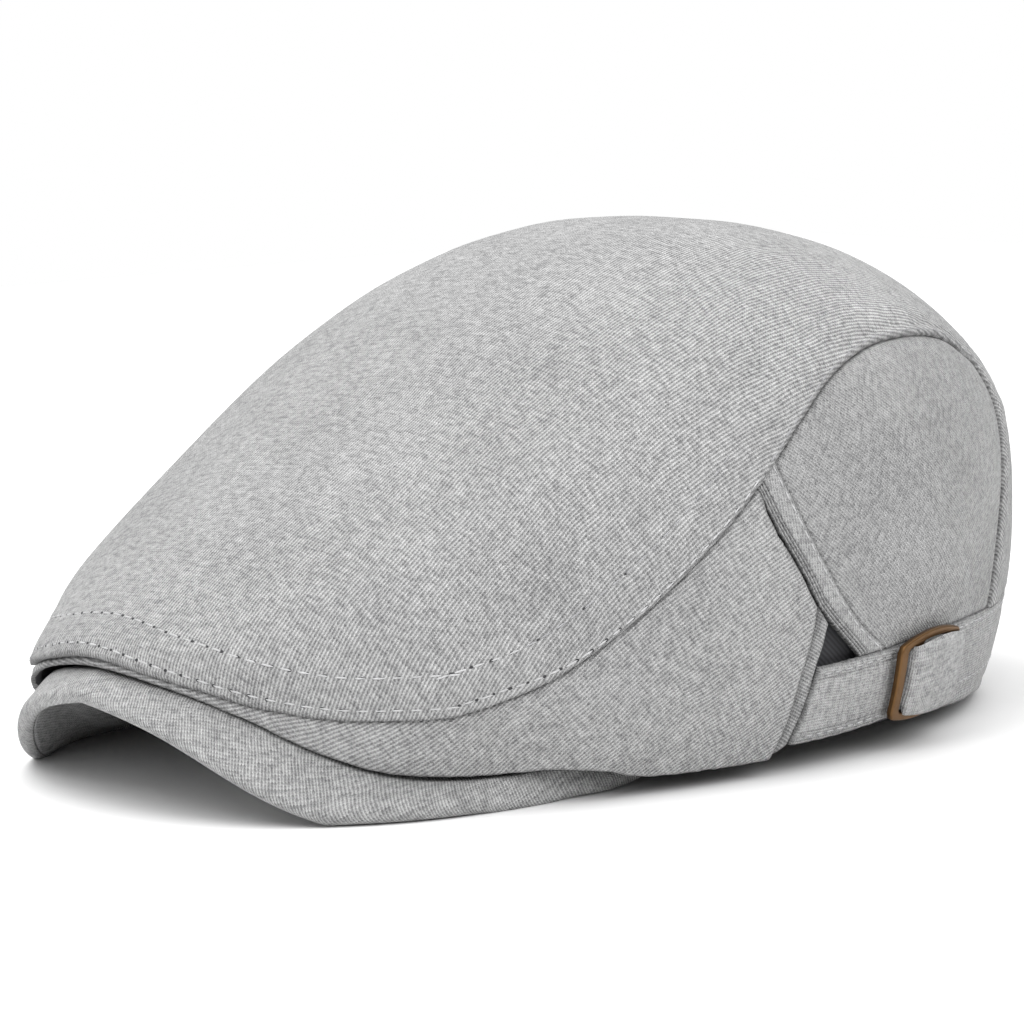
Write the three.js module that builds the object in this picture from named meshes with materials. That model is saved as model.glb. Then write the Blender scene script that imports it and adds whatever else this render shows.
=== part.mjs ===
// Flat cap in heather jersey with an adjustable strap and a brass slide buckle on each side.
// Millimetres. X points to the wearer's left, the front is at -Y, Z is up and the floor is Z = 0.

import * as THREE from "three";
import { mergeVertices } from "three/addons/utils/BufferGeometryUtils.js";

// Crown
const CROWN_LENGTH = 277;
const CROWN_WIDTH = 195.4;
const CROWN_HEIGHT = 125.7;
const CLOTH = 2;
const SEAM_GAP = 0.3;

// Brim
const BRIM_REACH = 5.3;
const BRIM_WIDTH = 151.2;
const BRIM_DEPTH = 84.7;
const BRIM_ARCH = 28.5;
const BRIM_COVER = 1.2;
const BRIM_BOARD = 1.6;
const BRIM_PLAY = 0.35;
const BRIM_TIP_ANGLE = 97;
const BRIM_SQUARENESS = 2.17;
const BRIM_DROP = 1;
const BRIM_LEDGE = 5;

// Hem, rear band and sweatband
const HEM_LIFT = 4;
const BAND_HEIGHT = 27.4;
const BAND_DIP = 2.3;
const SWEATBAND = 1.2;
const SWEATBAND_PLAY = 0.8;
const SWEATBAND_FRONT = 24;
const SWEATBAND_BACK = 38;
const SWEATBAND_LIFT = 6.5;
const HEAD_LENGTH = 216;
const HEAD_WIDTH = 190;
const HEAD_REAR = 138;
const HEAD_BLEND = 3;

// Strap, buckle and the cloth loop that holds the buckle to the rear band
const STRAP_WIDTH = 18.4;
const BUCKLE_LENGTH = 27;
const BUCKLE_HEIGHT = 18.4;
const BUCKLE_ARCH = 2;
const BUCKLE_BAR = 3.2;
const BUCKLE_RAIL = 2;
const BUCKLE_THICKNESS = 1.6;
const BUCKLE_SLOT = 3;
const LOOP_CLOTH = 1.1;
const LOOP_PLAY = 0.4;
const LOOP_ROUNDING = 0.3;

// Where things end, in degrees round the cap from the centre front
const CORNER_AZIMUTH = 38;
const TURN_AZIMUTH = 142.5;
const BUCKLE_AZIMUTH = 105.2;
const STRAP_END_AZIMUTH = 120;
const TAIL_AZIMUTH = 135;
const BACK_AZIMUTH = 180;

// Cells of the meshes
const TAIL_CELLS = 18;
const FRONT_CELLS = TAIL_CELLS / 2;
const SIDE_CELLS = 10;
const BACK_CELLS = 10;
const TAIL_SIDE_CELLS = 8;
const SLIT_CELLS = 4;
const BRIM_CELLS = 44;
const RING_CELLS = 60;
const STRAP_CELLS = 14;
const LOOP_CELLS = 7;
const BAND_CELL_ANGLE = 5;
const BUCKLE_CELL = 4;
const REAR_EDGE_FADE = 3;

const CROWN_CENTRE = BRIM_REACH / 2;
const BRIM_STACK = 2 * BRIM_COVER + BRIM_BOARD + 2 * BRIM_PLAY;
const ROOT_PLAY = 2 * BRIM_PLAY;
const degrees = (angle) => (angle * Math.PI) / 180;

// Cross-sections of the crown from front to back. along is the share of the length. full is the half
// width over that of an ellipse, rise the height above the widest line over an ellipse of the crown's
// height, widest the height of the widest line and square the exponent of the section's curve.
const CROWN_SECTIONS = [
  { along: 0.0, full: 0.909, rise: 0.248, widest: 0.263, square: 2.06 },
  { along: 0.02, full: 0.917, rise: 0.276, widest: 0.259, square: 2.08 },
  { along: 0.08, full: 0.936, rise: 0.348, widest: 0.248, square: 2.15 },
  { along: 0.18, full: 0.953, rise: 0.434, widest: 0.236, square: 2.25 },
  { along: 0.32, full: 0.981, rise: 0.554, widest: 0.242, square: 2.37 },
  { along: 0.5, full: 1.0, rise: 0.646, widest: 0.31, square: 2.45 },
  { along: 0.68, full: 1.002, rise: 0.641, widest: 0.394, square: 2.43 },
  { along: 0.82, full: 0.995, rise: 0.615, widest: 0.424, square: 2.35 },
  { along: 0.92, full: 0.986, rise: 0.619, widest: 0.428, square: 2.28 },
  { along: 1.0, full: 0.963, rise: 0.63, widest: 0.426, square: 2.22 },
];

// How the wall draws in below its widest line: the depth at which it would close, and the curve's exponent.
const TAPER = { reach: 2.23, square: 2.2 };

// Seam between the top panel and the side panels: degrees round the cap, height as a share of the crown's.
const SEAM_FRONT = [
  { azimuth: 0, height: 0.275 },
  { azimuth: 10, height: 0.247 },
  { azimuth: 19, height: 0.207 },
  { azimuth: 27, height: 0.184 },
  { azimuth: 38, height: 0.183 },
  { azimuth: 48, height: 0.23 },
  { azimuth: 61, height: 0.341 },
  { azimuth: 74, height: 0.473 },
  { azimuth: 81, height: 0.549 },
];
const SEAM_BACK = [
  { azimuth: 85, height: 0.592 },
  { azimuth: 92, height: 0.66 },
  { azimuth: 102, height: 0.733 },
  { azimuth: 114, height: 0.776 },
  { azimuth: 126, height: 0.779 },
  { azimuth: 136, height: 0.757 },
  { azimuth: 142.5, height: 0.705 },
  { azimuth: 143, height: 0.63 },
  { azimuth: 140, height: 0.5 },
  { azimuth: 137, height: 0.35 },
];

// Lower edge of the side panel: along the brim, then the free hem.
const HEM_LINE = [
  { azimuth: 0, height: 0.258 },
  { azimuth: 9, height: 0.236 },
  { azimuth: 17, height: 0.187 },
  { azimuth: 24, height: 0.121 },
  { azimuth: 30, height: 0.081 },
  { azimuth: 37, height: 0.066 },
  { azimuth: 50, height: 0.066 },
  { azimuth: 56, height: 0.055 },
  { azimuth: 61, height: 0.037 },
  { azimuth: 70, height: 0.031 },
  { azimuth: 82.8, height: 0.032 },
];

// Rear edge of the side panel, from the seam down the slit to the hem.
const SLIT_EDGE = [
  { azimuth: 81, height: 0.549 },
  { azimuth: 83.1, height: 0.477 },
  { azimuth: 87.5, height: 0.375 },
  { azimuth: 89.9, height: 0.318 },
];
const PANEL_REAR_EDGE = [
  { azimuth: 89.9, height: 0.318 },
  { azimuth: 88.3, height: 0.258 },
  { azimuth: 86.4, height: 0.186 },
  { azimuth: 84.9, height: 0.108 },
  { azimuth: 82.8, height: 0.032 },
];

// Edges of the binding behind the slit: below the slit it borders the opening down to the strap.
const OPENING_EDGE = [
  { azimuth: 89.9, height: 0.318 },
  { azimuth: 92.4, height: 0.282 },
  { azimuth: 98.8, height: 0.212 },
];
const BINDING_REAR_EDGE = [
  { azimuth: 85, height: 0.592 },
  { azimuth: 86.5, height: 0.53 },
  { azimuth: 91, height: 0.401 },
  { azimuth: 97.8, height: 0.278 },
  { azimuth: 104.6, height: 0.213 },
];

// Rear side of the narrow edge strip that holds the strap's front end.
const EDGE_STRIP_REAR = [
  { azimuth: 92.2, height: 0.275 },
  { azimuth: 90.3, height: 0.2 },
  { azimuth: 88.9, height: 0.13 },
  { azimuth: 86.4, height: 0.048 },
];

// Lower edge of the rear band in hem lifts: where it would lie below the floor it stands flat on it.
const BAND_FOOT = [
  { azimuth: 120, lift: 1.6 },
  { azimuth: 130, lift: 1.2 },
  { azimuth: 140, lift: 0.9 },
  { azimuth: 150, lift: 0.4 },
  { azimuth: 165, lift: -0.3 },
  { azimuth: 180, lift: -0.5 },
];

// Height of the brim's outer edge as a share of its arch, by the angle round the brim's own outline.
const BRIM_EDGE = [
  { angle: 0, height: 1 },
  { angle: 18, height: 0.78 },
  { angle: 36, height: 0.34 },
  { angle: 54, height: 0.055 },
  { angle: 72, height: 0.012 },
  { angle: 88, height: 0 },
  { angle: 105, height: 0.01 },
];

// Height of the brim's root at the head opening as a share of its arch, by azimuth.
const BRIM_ROOT = [
  { azimuth: 0, height: 1.5 },
  { azimuth: 15, height: 1.4 },
  { azimuth: 30, height: 1.05 },
  { azimuth: 45, height: 0.56 },
  { azimuth: 55, height: 0.28 },
  { azimuth: 70, height: 0.18 },
  { azimuth: 90, height: 0.14 },
];

// Natural cubic spline through the rows of a table, from one named column to another.
function splineThrough(rows, from, to, place = (value) => value) {
  const xs = rows.map((row) => place(row[from]));
  const ys = rows.map((row) => row[to]);
  const last = xs.length - 1;
  const bend = new Array(last + 1).fill(0);
  const carry = new Array(last + 1).fill(0);
  for (let i = 1; i < last; i += 1) {
    const share = (xs[i] - xs[i - 1]) / (xs[i + 1] - xs[i - 1]);
    const pivot = share * bend[i - 1] + 2;
    const rightSlope = (ys[i + 1] - ys[i]) / (xs[i + 1] - xs[i]);
    const leftSlope = (ys[i] - ys[i - 1]) / (xs[i] - xs[i - 1]);
    bend[i] = (share - 1) / pivot;
    carry[i] = ((6 * (rightSlope - leftSlope)) / (xs[i + 1] - xs[i - 1]) - share * carry[i - 1]) / pivot;
  }
  for (let i = last - 1; i >= 0; i -= 1) bend[i] = bend[i] * bend[i + 1] + carry[i];
  return (value) => {
    const x = Math.min(Math.max(value, xs[0]), xs[last]);
    let i = 0;
    while (i < last - 1 && x > xs[i + 1]) i += 1;
    const span = xs[i + 1] - xs[i];
    const a = (xs[i + 1] - x) / span;
    const b = 1 - a;
    const curve = ((a ** 3 - a) * bend[i] + (b ** 3 - b) * bend[i + 1]) * (span ** 2 / 6);
    return a * ys[i] + b * ys[i + 1] + curve;
  };
}

// Turn of the half circle that a share of the crown's length stands for.
const turnAt = (share) => Math.acos(1 - 2 * share);
const fullAt = splineThrough(CROWN_SECTIONS, "along", "full", turnAt);
const riseAt = splineThrough(CROWN_SECTIONS, "along", "rise", turnAt);
const widestAt = splineThrough(CROWN_SECTIONS, "along", "widest", turnAt);
const squareAt = splineThrough(CROWN_SECTIONS, "along", "square", turnAt);

const TINY = 1e-6;

function crownSection(y) {
  const share = Math.min(Math.max((y - CROWN_CENTRE) / CROWN_LENGTH + 0.5, TINY), 1 - TINY);
  const turn = turnAt(share);
  return {
    halfWidth: (CROWN_WIDTH / 2) * fullAt(turn) * Math.sin(turn),
    rise: CROWN_HEIGHT * riseAt(turn) * Math.sin(turn),
    widest: CROWN_HEIGHT * widestAt(turn),
    square: squareAt(turn),
  };
}

// How far a point lies outside the crown's outer face: 0 on it, negative inside.
function outsideCrown(x, y, z) {
  const section = crownSection(y);
  if (z >= section.widest) {
    if (Math.abs(y - CROWN_CENTRE) > CROWN_LENGTH / 2) return 1;
    const across = (Math.abs(x) / section.halfWidth) ** section.square;
    return across + ((z - section.widest) / section.rise) ** section.square - 1;
  }
  const depth = (section.widest - z) / section.widest / TAPER.reach;
  const shrink = (1 - depth ** TAPER.square) ** (1 / TAPER.square);
  const full = CROWN_CENTRE + (y - CROWN_CENTRE) / shrink;
  if (Math.abs(full - CROWN_CENTRE) > CROWN_LENGTH / 2) return 1;
  return Math.abs(x) / shrink / crownSection(full).halfWidth - 1;
}

// Point of the outer face on a ray from an inner point.
function castToCrown(origin, direction) {
  let near = 0;
  let far = CROWN_LENGTH;
  const point = new THREE.Vector3();
  for (let i = 0; i < 48; i += 1) {
    const middle = (near + far) / 2;
    point.copy(origin).addScaledVector(direction, middle);
    if (outsideCrown(point.x, point.y, point.z) < 0) near = middle;
    else far = middle;
  }
  return point;
}

// Outer face at an azimuth in degrees from the centre front and a height.
function onWall(azimuth, height) {
  const turn = degrees(azimuth);
  const origin = new THREE.Vector3(0, CROWN_CENTRE, height);
  return castToCrown(origin, new THREE.Vector3(Math.sin(turn), -Math.cos(turn), 0));
}

const DOME_CORE = new THREE.Vector3(0, CROWN_CENTRE, CROWN_HEIGHT / 5);
const PROBE = 0.004;

// Unit normal of the outer face, from four points close round it.
function crownNormal(point) {
  const ray = point.clone().sub(DOME_CORE).normalize();
  const side = new THREE.Vector3(0, 0, 1).cross(ray).normalize();
  const up = ray.clone().cross(side);
  const probe = (axis, reach) => {
    const direction = ray.clone().addScaledVector(axis, reach).normalize();
    return castToCrown(DOME_CORE, direction);
  };
  const across = probe(side, PROBE).sub(probe(side, -PROBE));
  const upward = probe(up, PROBE).sub(probe(up, -PROBE));
  return across.cross(upward).normalize();
}

// Point at a lift above (or, negative, inside) the outer face.
function liftedWall(azimuth, height, lift) {
  const point = onWall(azimuth, height);
  return point.clone().addScaledVector(crownNormal(point), lift);
}

// Inner face below an outer point; a level edge goes straight in, so that the edge stays flat.
function innerPoint(point, thickness, level) {
  const normal = crownNormal(point);
  if (level) {
    const flat = new THREE.Vector3(normal.x, normal.y, 0);
    return point.clone().addScaledVector(flat, -thickness / flat.lengthSq());
  }
  return point.clone().addScaledVector(normal, -thickness);
}

// A point of the dome as a flat chart: the angle from straight up, laid out by azimuth.
function toChart(point) {
  const ray = point.clone().sub(DOME_CORE).normalize();
  const tilt = Math.acos(ray.z);
  const flat = Math.hypot(ray.x, ray.y);
  return new THREE.Vector2((tilt * ray.x) / flat, (tilt * ray.y) / flat);
}

function fromChart(spot) {
  const tilt = spot.length();
  const spread = tilt > TINY ? Math.sin(tilt) / tilt : 1;
  const ray = new THREE.Vector3(spot.x * spread, spot.y * spread, Math.cos(tilt));
  return castToCrown(DOME_CORE, ray);
}

// Grid between four edges, each a list of 2-D spots; rows run from the first edge to the second. The
// side edges' own curves fade out across the grid, faster with a higher fade.
function gridBetween(firstRow, lastRow, leftEdge, rightEdge, fade = 1) {
  const rows = leftEdge.length - 1;
  const columns = firstRow.length - 1;
  const grid = [];
  for (let j = 0; j <= rows; j += 1) {
    const v = j / rows;
    const line = [];
    for (let i = 0; i <= columns; i += 1) {
      const u = i / columns;
      const between = (column, axis) => (1 - v) * firstRow[column][axis] + v * lastRow[column][axis];
      const blend = (axis) =>
        between(i, axis) +
        (1 - u) ** fade * (leftEdge[j][axis] - between(0, axis)) +
        u ** fade * (rightEdge[j][axis] - between(columns, axis));
      line.push(new THREE.Vector2(blend("x"), blend("y")));
    }
    grid.push(line);
  }
  return grid;
}

// Draws the sewn borders of a grid in by half a seam gap; free borders stay where they are.
function drawnIn(grid, freeSides = []) {
  const rows = grid.length - 1;
  const columns = grid[0].length - 1;
  const sewn = (side) => !freeSides.includes(side);
  const depth = (inward, along) => {
    const direction = along.clone().normalize();
    return inward.clone().addScaledVector(direction, -inward.dot(direction)).length();
  };
  return grid.map((line, j) =>
    line.map((point, i) => {
      const down = sewn("first") && j === 0 ? 1 : sewn("last") && j === rows ? -1 : 0;
      const across = sewn("left") && i === 0 ? 1 : sewn("right") && i === columns ? -1 : 0;
      if (down === 0 && across === 0) return point.clone();
      const inward = grid[j + down][i + across].clone().sub(point);
      const depths = [];
      if (down !== 0) depths.push(depth(inward, grid[j][i < columns ? i + 1 : i - 1].clone().sub(point)));
      if (across !== 0) depths.push(depth(inward, grid[j < rows ? j + 1 : j - 1][i].clone().sub(point)));
      return point.clone().addScaledVector(inward, SEAM_GAP / 2 / Math.min(...depths));
    }),
  );
}

function geometryFrom(points, faces) {
  const geometry = new THREE.BufferGeometry();
  const places = points.flatMap((point) => [point.x, point.y, point.z]);
  geometry.setAttribute("position", new THREE.Float32BufferAttribute(places, 3));
  geometry.setIndex(faces);
  geometry.computeVertexNormals();
  return geometry;
}

function signedVolume(points, faces) {
  let total = 0;
  for (let k = 0; k < faces.length; k += 3) {
    const [a, b, c] = [points[faces[k]], points[faces[k + 1]], points[faces[k + 2]]];
    total += a.dot(b.clone().cross(c));
  }
  return total;
}

// Turns the faces round if they point inwards.
function closedBody(points, faces) {
  const turned = signedVolume(points, faces) < 0;
  const order = turned ? faces.map((_, k) => faces[k - (k % 3) + 2 - (k % 3)]) : faces;
  return geometryFrom(points, order);
}

// Closed shell between an outer and an inner grid; a looped shell closes on itself along its rows.
function shell(outer, inner, looped = false) {
  const rows = outer.length;
  const columns = outer[0].length;
  const points = [...outer.flat(), ...inner.flat()];
  const offset = rows * columns;
  const at = (j, i, side) => side * offset + j * columns + (i % columns);
  const faces = [];
  const quad = (a, b, c, d) => faces.push(a, b, c, a, c, d);
  const cells = looped ? columns : columns - 1;
  for (let j = 0; j < rows - 1; j += 1) {
    for (let i = 0; i < cells; i += 1) {
      quad(at(j, i, 0), at(j, i + 1, 0), at(j + 1, i + 1, 0), at(j + 1, i, 0));
      quad(at(j, i, 1), at(j + 1, i, 1), at(j + 1, i + 1, 1), at(j, i + 1, 1));
    }
  }
  for (let i = 0; i < cells; i += 1) {
    quad(at(0, i, 0), at(0, i, 1), at(0, i + 1, 1), at(0, i + 1, 0));
    quad(at(rows - 1, i, 0), at(rows - 1, i + 1, 0), at(rows - 1, i + 1, 1), at(rows - 1, i, 1));
  }
  for (let j = 0; j < rows - 1 && !looped; j += 1) {
    quad(at(j, 0, 0), at(j + 1, 0, 0), at(j + 1, 0, 1), at(j, 0, 1));
    quad(at(j, cells, 0), at(j, cells, 1), at(j + 1, cells, 1), at(j + 1, cells, 0));
  }
  return closedBody(points, faces);
}

// Body swept through a row of loops with the same number of corners; the end loops are filled. The
// cells after the first row of corners are split the other way, so that nested layers stay parallel.
function sweep(loops, endFaces, firstRow) {
  const corners = loops[0].length;
  const last = (loops.length - 1) * corners;
  const faces = [];
  for (let j = 0; j < loops.length - 1; j += 1) {
    for (let i = 0; i < corners; i += 1) {
      const a = j * corners + i;
      const b = j * corners + ((i + 1) % corners);
      if (i < firstRow) faces.push(a, b, b + corners, a, b + corners, a + corners);
      else faces.push(a, b, a + corners, b, b + corners, a + corners);
    }
  }
  for (const [a, b, c] of endFaces) faces.push(c, b, a, last + a, last + b, last + c);
  return closedBody(loops.flat(), faces);
}

// Side panels and bands: a grid of azimuths and heights, laid on the wall and given its cloth.
function wallPanel(chart, freeSides = [], levelFoot = false) {
  const placed = chart.map((line) => line.map((spot) => onWall(spot.x, spot.y)));
  const outer = drawnIn(placed, freeSides);
  const inner = outer.map((line, j) => line.map((point) => innerPoint(point, CLOTH, levelFoot && j === 0)));
  return shell(outer, inner);
}

// Points spaced evenly along a table's curve.
function stations(rows, cells) {
  const knots = rows.map((row) => new THREE.Vector3(row.azimuth, row.height * CROWN_HEIGHT, 0));
  const curve = new THREE.CatmullRomCurve3(knots, false, "centripetal");
  return curve.getSpacedPoints(cells).map((knot) => new THREE.Vector2(knot.x, knot.y));
}

const spotAt = (azimuth, height) => new THREE.Vector2(azimuth, height);
const evenly = (from, to, cells) =>
  Array.from({ length: cells + 1 }, (_, i) => from + ((to - from) * i) / cells);

// Line where the strap and the rear band meet the panels above them.
function bandLine(azimuth) {
  const share = THREE.MathUtils.smoothstep(azimuth, PANEL_REAR_EDGE[0].azimuth, STRAP_END_AZIMUTH);
  return BAND_HEIGHT - BAND_DIP * (1 - share);
}

const bandSpot = (azimuth) => spotAt(azimuth, bandLine(azimuth));
const onBandLine = (row) => ({ azimuth: row.azimuth, height: bandLine(row.azimuth) / CROWN_HEIGHT });

// The seams' stations, shared by the panels on both of their sides.
const cornerIndex = SEAM_FRONT.findIndex((row) => row.azimuth === CORNER_AZIMUTH);
const turnIndex = SEAM_BACK.findIndex((row) => row.azimuth === TURN_AZIMUTH);
const SEAM_BEAK = stations(SEAM_FRONT.slice(0, cornerIndex + 1), FRONT_CELLS);
const SEAM_SIDE = stations(SEAM_FRONT.slice(cornerIndex), SIDE_CELLS);
const SEAM_REAR = stations(SEAM_BACK.slice(0, turnIndex + 1), BACK_CELLS);
const SEAM_TAIL = stations(
  [...SEAM_BACK.slice(turnIndex), onBandLine({ azimuth: TAIL_AZIMUTH })], TAIL_SIDE_CELLS);
const SLIT_TOP = [SEAM_SIDE.at(-1), SEAM_SIDE.at(-1).clone().lerp(SEAM_REAR[0], 0.5), SEAM_REAR[0]];
const SLIT_FRONT = stations(SLIT_EDGE, SLIT_CELLS);
const SLIT_FOOT = stations([...OPENING_EDGE.slice(0, -1), onBandLine(OPENING_EDGE.at(-1))], SLIT_CELLS);
const SLIT_REAR = stations(
  [...BINDING_REAR_EDGE.slice(0, -1), onBandLine(BINDING_REAR_EDGE.at(-1))], 2 * SLIT_CELLS);
const PANEL_REAR = stations(PANEL_REAR_EDGE, SLIT_CELLS);

function crownTop() {
  const flip = (spot) => new THREE.Vector2(-spot.x, spot.y);
  const side = [...SEAM_SIDE, ...SLIT_TOP.slice(1), ...SEAM_REAR.slice(1), ...SEAM_TAIL.slice(1)];
  const chartOf = (spots) => spots.map((spot) => toChart(onWall(spot.x, spot.y)));
  const left = chartOf(side);
  const right = left.map(flip);
  const beak = chartOf(SEAM_BEAK);
  const first = [...beak.slice(1).reverse().map(flip), ...beak];
  const tail = chartOf(evenly(TAIL_AZIMUTH, BACK_AZIMUTH, TAIL_CELLS / 2).map(bandSpot));
  const last = [...tail.slice(0, -1).map(flip), ...[...tail].reverse()];
  const grid = gridBetween(first, last, right, left);
  const outer = drawnIn(grid.map((line) => line.map(fromChart)));
  const inner = outer.map((line) => line.map((point) => innerPoint(point, CLOTH, false)));
  return shell(outer, inner);
}

// Side panel from the centre front to the slit, with a free hem behind the brim.
function sidePanel() {
  const top = [...SEAM_BEAK, ...SEAM_SIDE.slice(1)];
  const foot = stations(HEM_LINE, top.length - 1);
  const rear = [...SLIT_FRONT, ...PANEL_REAR.slice(1)].reverse();
  const front = evenly(foot[0].y, top[0].y, rear.length - 1).map((height) => spotAt(0, height));
  return wallPanel(gridBetween(foot, top, front, rear, REAR_EDGE_FADE), ["first"], true);
}

// Folded strip along the slit's rear side and down to the strap.
function slitBinding() {
  const front = [...SLIT_FRONT, ...SLIT_FOOT.slice(1)];
  const foot = [front.at(-1), front.at(-1).clone().lerp(SLIT_REAR.at(-1), 0.5), SLIT_REAR.at(-1)];
  return wallPanel(gridBetween(SLIT_TOP, foot, front, SLIT_REAR));
}

// Back panel between the slit's binding and the top panel's tail.
function backPanel() {
  const foot = evenly(SLIT_REAR.at(-1).x, TAIL_AZIMUTH, BACK_CELLS).map(bandSpot);
  return wallPanel(gridBetween(SEAM_REAR, foot, SLIT_REAR, SEAM_TAIL));
}

// Narrow strip behind the side panel's rear edge; the strap's front end is sewn to it.
function edgeStrip() {
  const rear = stations(EDGE_STRIP_REAR, SLIT_CELLS).reverse();
  const front = [...PANEL_REAR].reverse();
  const foot = [front[0], rear[0]];
  const top = [front.at(-1), rear.at(-1)];
  return wallPanel(gridBetween(foot, top, front, rear), ["first"], true);
}

const stripRearAt = splineThrough([...EDGE_STRIP_REAR].reverse(), "height", "azimuth");

// Strap from the edge strip to the rear band, under the buckle's front bar.
function strap() {
  const line = (drop) => (share) => {
    const front = stripRearAt((bandLine(PANEL_REAR_EDGE[0].azimuth) - drop) / CROWN_HEIGHT);
    const azimuth = front + (STRAP_END_AZIMUTH - front) * share;
    return spotAt(azimuth, bandLine(azimuth) - drop);
  };
  const shares = evenly(0, 1, STRAP_CELLS);
  const rows = [STRAP_WIDTH, STRAP_WIDTH / 2, 0].map((drop) => shares.map(line(drop)));
  return wallPanel(rows, ["first"], true);
}

const FULL_TURN = 2 * BACK_AZIMUTH;
const sideAzimuth = (azimuth) => Math.min(azimuth, FULL_TURN - azimuth);
const bandFootAt = splineThrough(BAND_FOOT, "azimuth", "lift");

// Band round the back between the two buckles; its lower edge stands on the floor.
function rearBand() {
  const rearCells = (2 * (BACK_AZIMUTH - STRAP_END_AZIMUTH)) / BAND_CELL_ANGLE;
  const azimuths = evenly(STRAP_END_AZIMUTH, FULL_TURN - STRAP_END_AZIMUTH, rearCells);
  const foot = (azimuth) => Math.max(0, HEM_LIFT * bandFootAt(sideAzimuth(azimuth)));
  const rows = evenly(0, 1, 2).map((share) =>
    azimuths.map((azimuth) =>
      spotAt(azimuth, foot(azimuth) + (bandLine(sideAzimuth(azimuth)) - foot(azimuth)) * share)));
  return wallPanel(rows, ["first"], true);
}

const hemAt = splineThrough(HEM_LINE, "azimuth", "height");
const brimEdgeAt = splineThrough(BRIM_EDGE, "angle", "height");
const brimRootAt = splineThrough(BRIM_ROOT, "azimuth", "height");

const rootHeight = (azimuth) => BRIM_ARCH * brimRootAt(azimuth);

// Distance of a wall point from the crown's upright axis.
const wallReach = (azimuth, height) => {
  const point = onWall(azimuth, height);
  return Math.hypot(point.x, point.y - CROWN_CENTRE);
};

// Distance of the head's oval from the crown's upright axis.
function headReach(azimuth) {
  const turn = degrees(azimuth);
  const middle = HEAD_REAR - HEAD_LENGTH / 2;
  const [long, wide] = [HEAD_LENGTH / 2, HEAD_WIDTH / 2];
  const [sine, cosine] = [Math.sin(turn), -Math.cos(turn)];
  const a = (sine / wide) ** 2 + (cosine / long) ** 2;
  const b = (-2 * cosine * middle) / long ** 2;
  const c = (middle / long) ** 2 - 1;
  return (-b + Math.sqrt(b ** 2 - 4 * a * c)) / (2 * a);
}

// Outer face of the sweatband: against the wall at the sides and back, on the head's oval in front.
function sweatbandReach(azimuth, height) {
  const wall = wallReach(azimuth, height) - CLOTH - SWEATBAND_PLAY;
  const head = headReach(azimuth);
  return (wall + head - Math.hypot(wall - head, HEAD_BLEND)) / 2;
}

// Azimuths between which the band grows from its front height to its back height.
const SWEATBAND_TURN = [40, 85];

// Band inside the head opening, from the brim's root or the hem upwards.
function sweatband() {
  const ring = evenly(0, FULL_TURN, RING_CELLS).slice(0, -1);
  const rowAt = (share, inset) =>
    ring.map((azimuth) => {
      const side = sideAzimuth(azimuth);
      const foot = Math.max(SWEATBAND_LIFT, rootHeight(side) - BRIM_STACK);
      const backShare = THREE.MathUtils.smoothstep(side, ...SWEATBAND_TURN);
      const tall = SWEATBAND_FRONT + (SWEATBAND_BACK - SWEATBAND_FRONT) * backShare;
      const height = foot + tall * share;
      const reach = sweatbandReach(side, height) - inset;
      const turn = degrees(azimuth);
      return new THREE.Vector3(reach * Math.sin(turn), CROWN_CENTRE - reach * Math.cos(turn), height);
    });
  const rows = evenly(0, 1, 3);
  return shell(rows.map((share) => rowAt(share, 0)), rows.map((share) => rowAt(share, SWEATBAND)), true);
}

// Directions that point down and in from the corners of an upright profile. The root's is straight
// down, and so are the others where the brim narrows to its tips.
function profileNormals(profile) {
  const last = profile.length - 1;
  const breadth = profile[0].x - profile[last].x;
  const level = 1 - THREE.MathUtils.smoothstep(breadth, BRIM_LEDGE, 4 * BRIM_LEDGE);
  return profile.map((spot, i) => {
    if (i === last) return new THREE.Vector2(0, -1);
    const after = profile[i + 1].clone().sub(spot).normalize();
    const before = i > 0 ? spot.clone().sub(profile[i - 1]).normalize() : after;
    const middle = before.add(after).normalize();
    return new THREE.Vector2(-middle.y, middle.x).lerp(new THREE.Vector2(0, -1), level).normalize();
  });
}

// Upright section of the brim's upper face at an angle round its outline, from the edge to the root.
function brimProfile(angle) {
  const turn = degrees(angle);
  const power = 2 / BRIM_SQUARENESS;
  const rounded = (value) => Math.sign(value) * Math.abs(value) ** power;
  const x = (BRIM_WIDTH / 2) * rounded(Math.sin(turn));
  const y = -CROWN_LENGTH / 2 - BRIM_REACH + BRIM_DEPTH * (1 - rounded(Math.cos(turn)));
  const azimuth = THREE.MathUtils.radToDeg(Math.atan2(x, -y));
  const side = Math.abs(azimuth);
  const hem = hemAt(side) * CROWN_HEIGHT;
  const wall = wallReach(side, hem);
  const rim = Math.hypot(x, y);
  const root = new THREE.Vector2(sweatbandReach(side, rootHeight(side)) + ROOT_PLAY, rootHeight(side));
  const creaseReach = Math.min(wall, rim - BRIM_LEDGE / 2);
  const crease = new THREE.Vector2(creaseReach, hem - BRIM_DROP);
  const ledgeReach = Math.min(wall - BRIM_LEDGE, creaseReach - BRIM_LEDGE / 2);
  const ledge = new THREE.Vector2(ledgeReach, hem - BRIM_DROP / 2);
  const edge = new THREE.Vector2(rim, BRIM_ARCH * brimEdgeAt(Math.abs(angle)));
  const middle = ledge.clone().lerp(root, 0.5);
  const profile = [edge, crease, ledge, middle, root];
  for (let pass = 0; pass < 3; pass += 1) {
    const foot = edge.y + BRIM_STACK * profileNormals(profile)[0].y;
    if (foot < 0) edge.y -= foot;
  }
  return { azimuth, profile };
}

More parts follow.
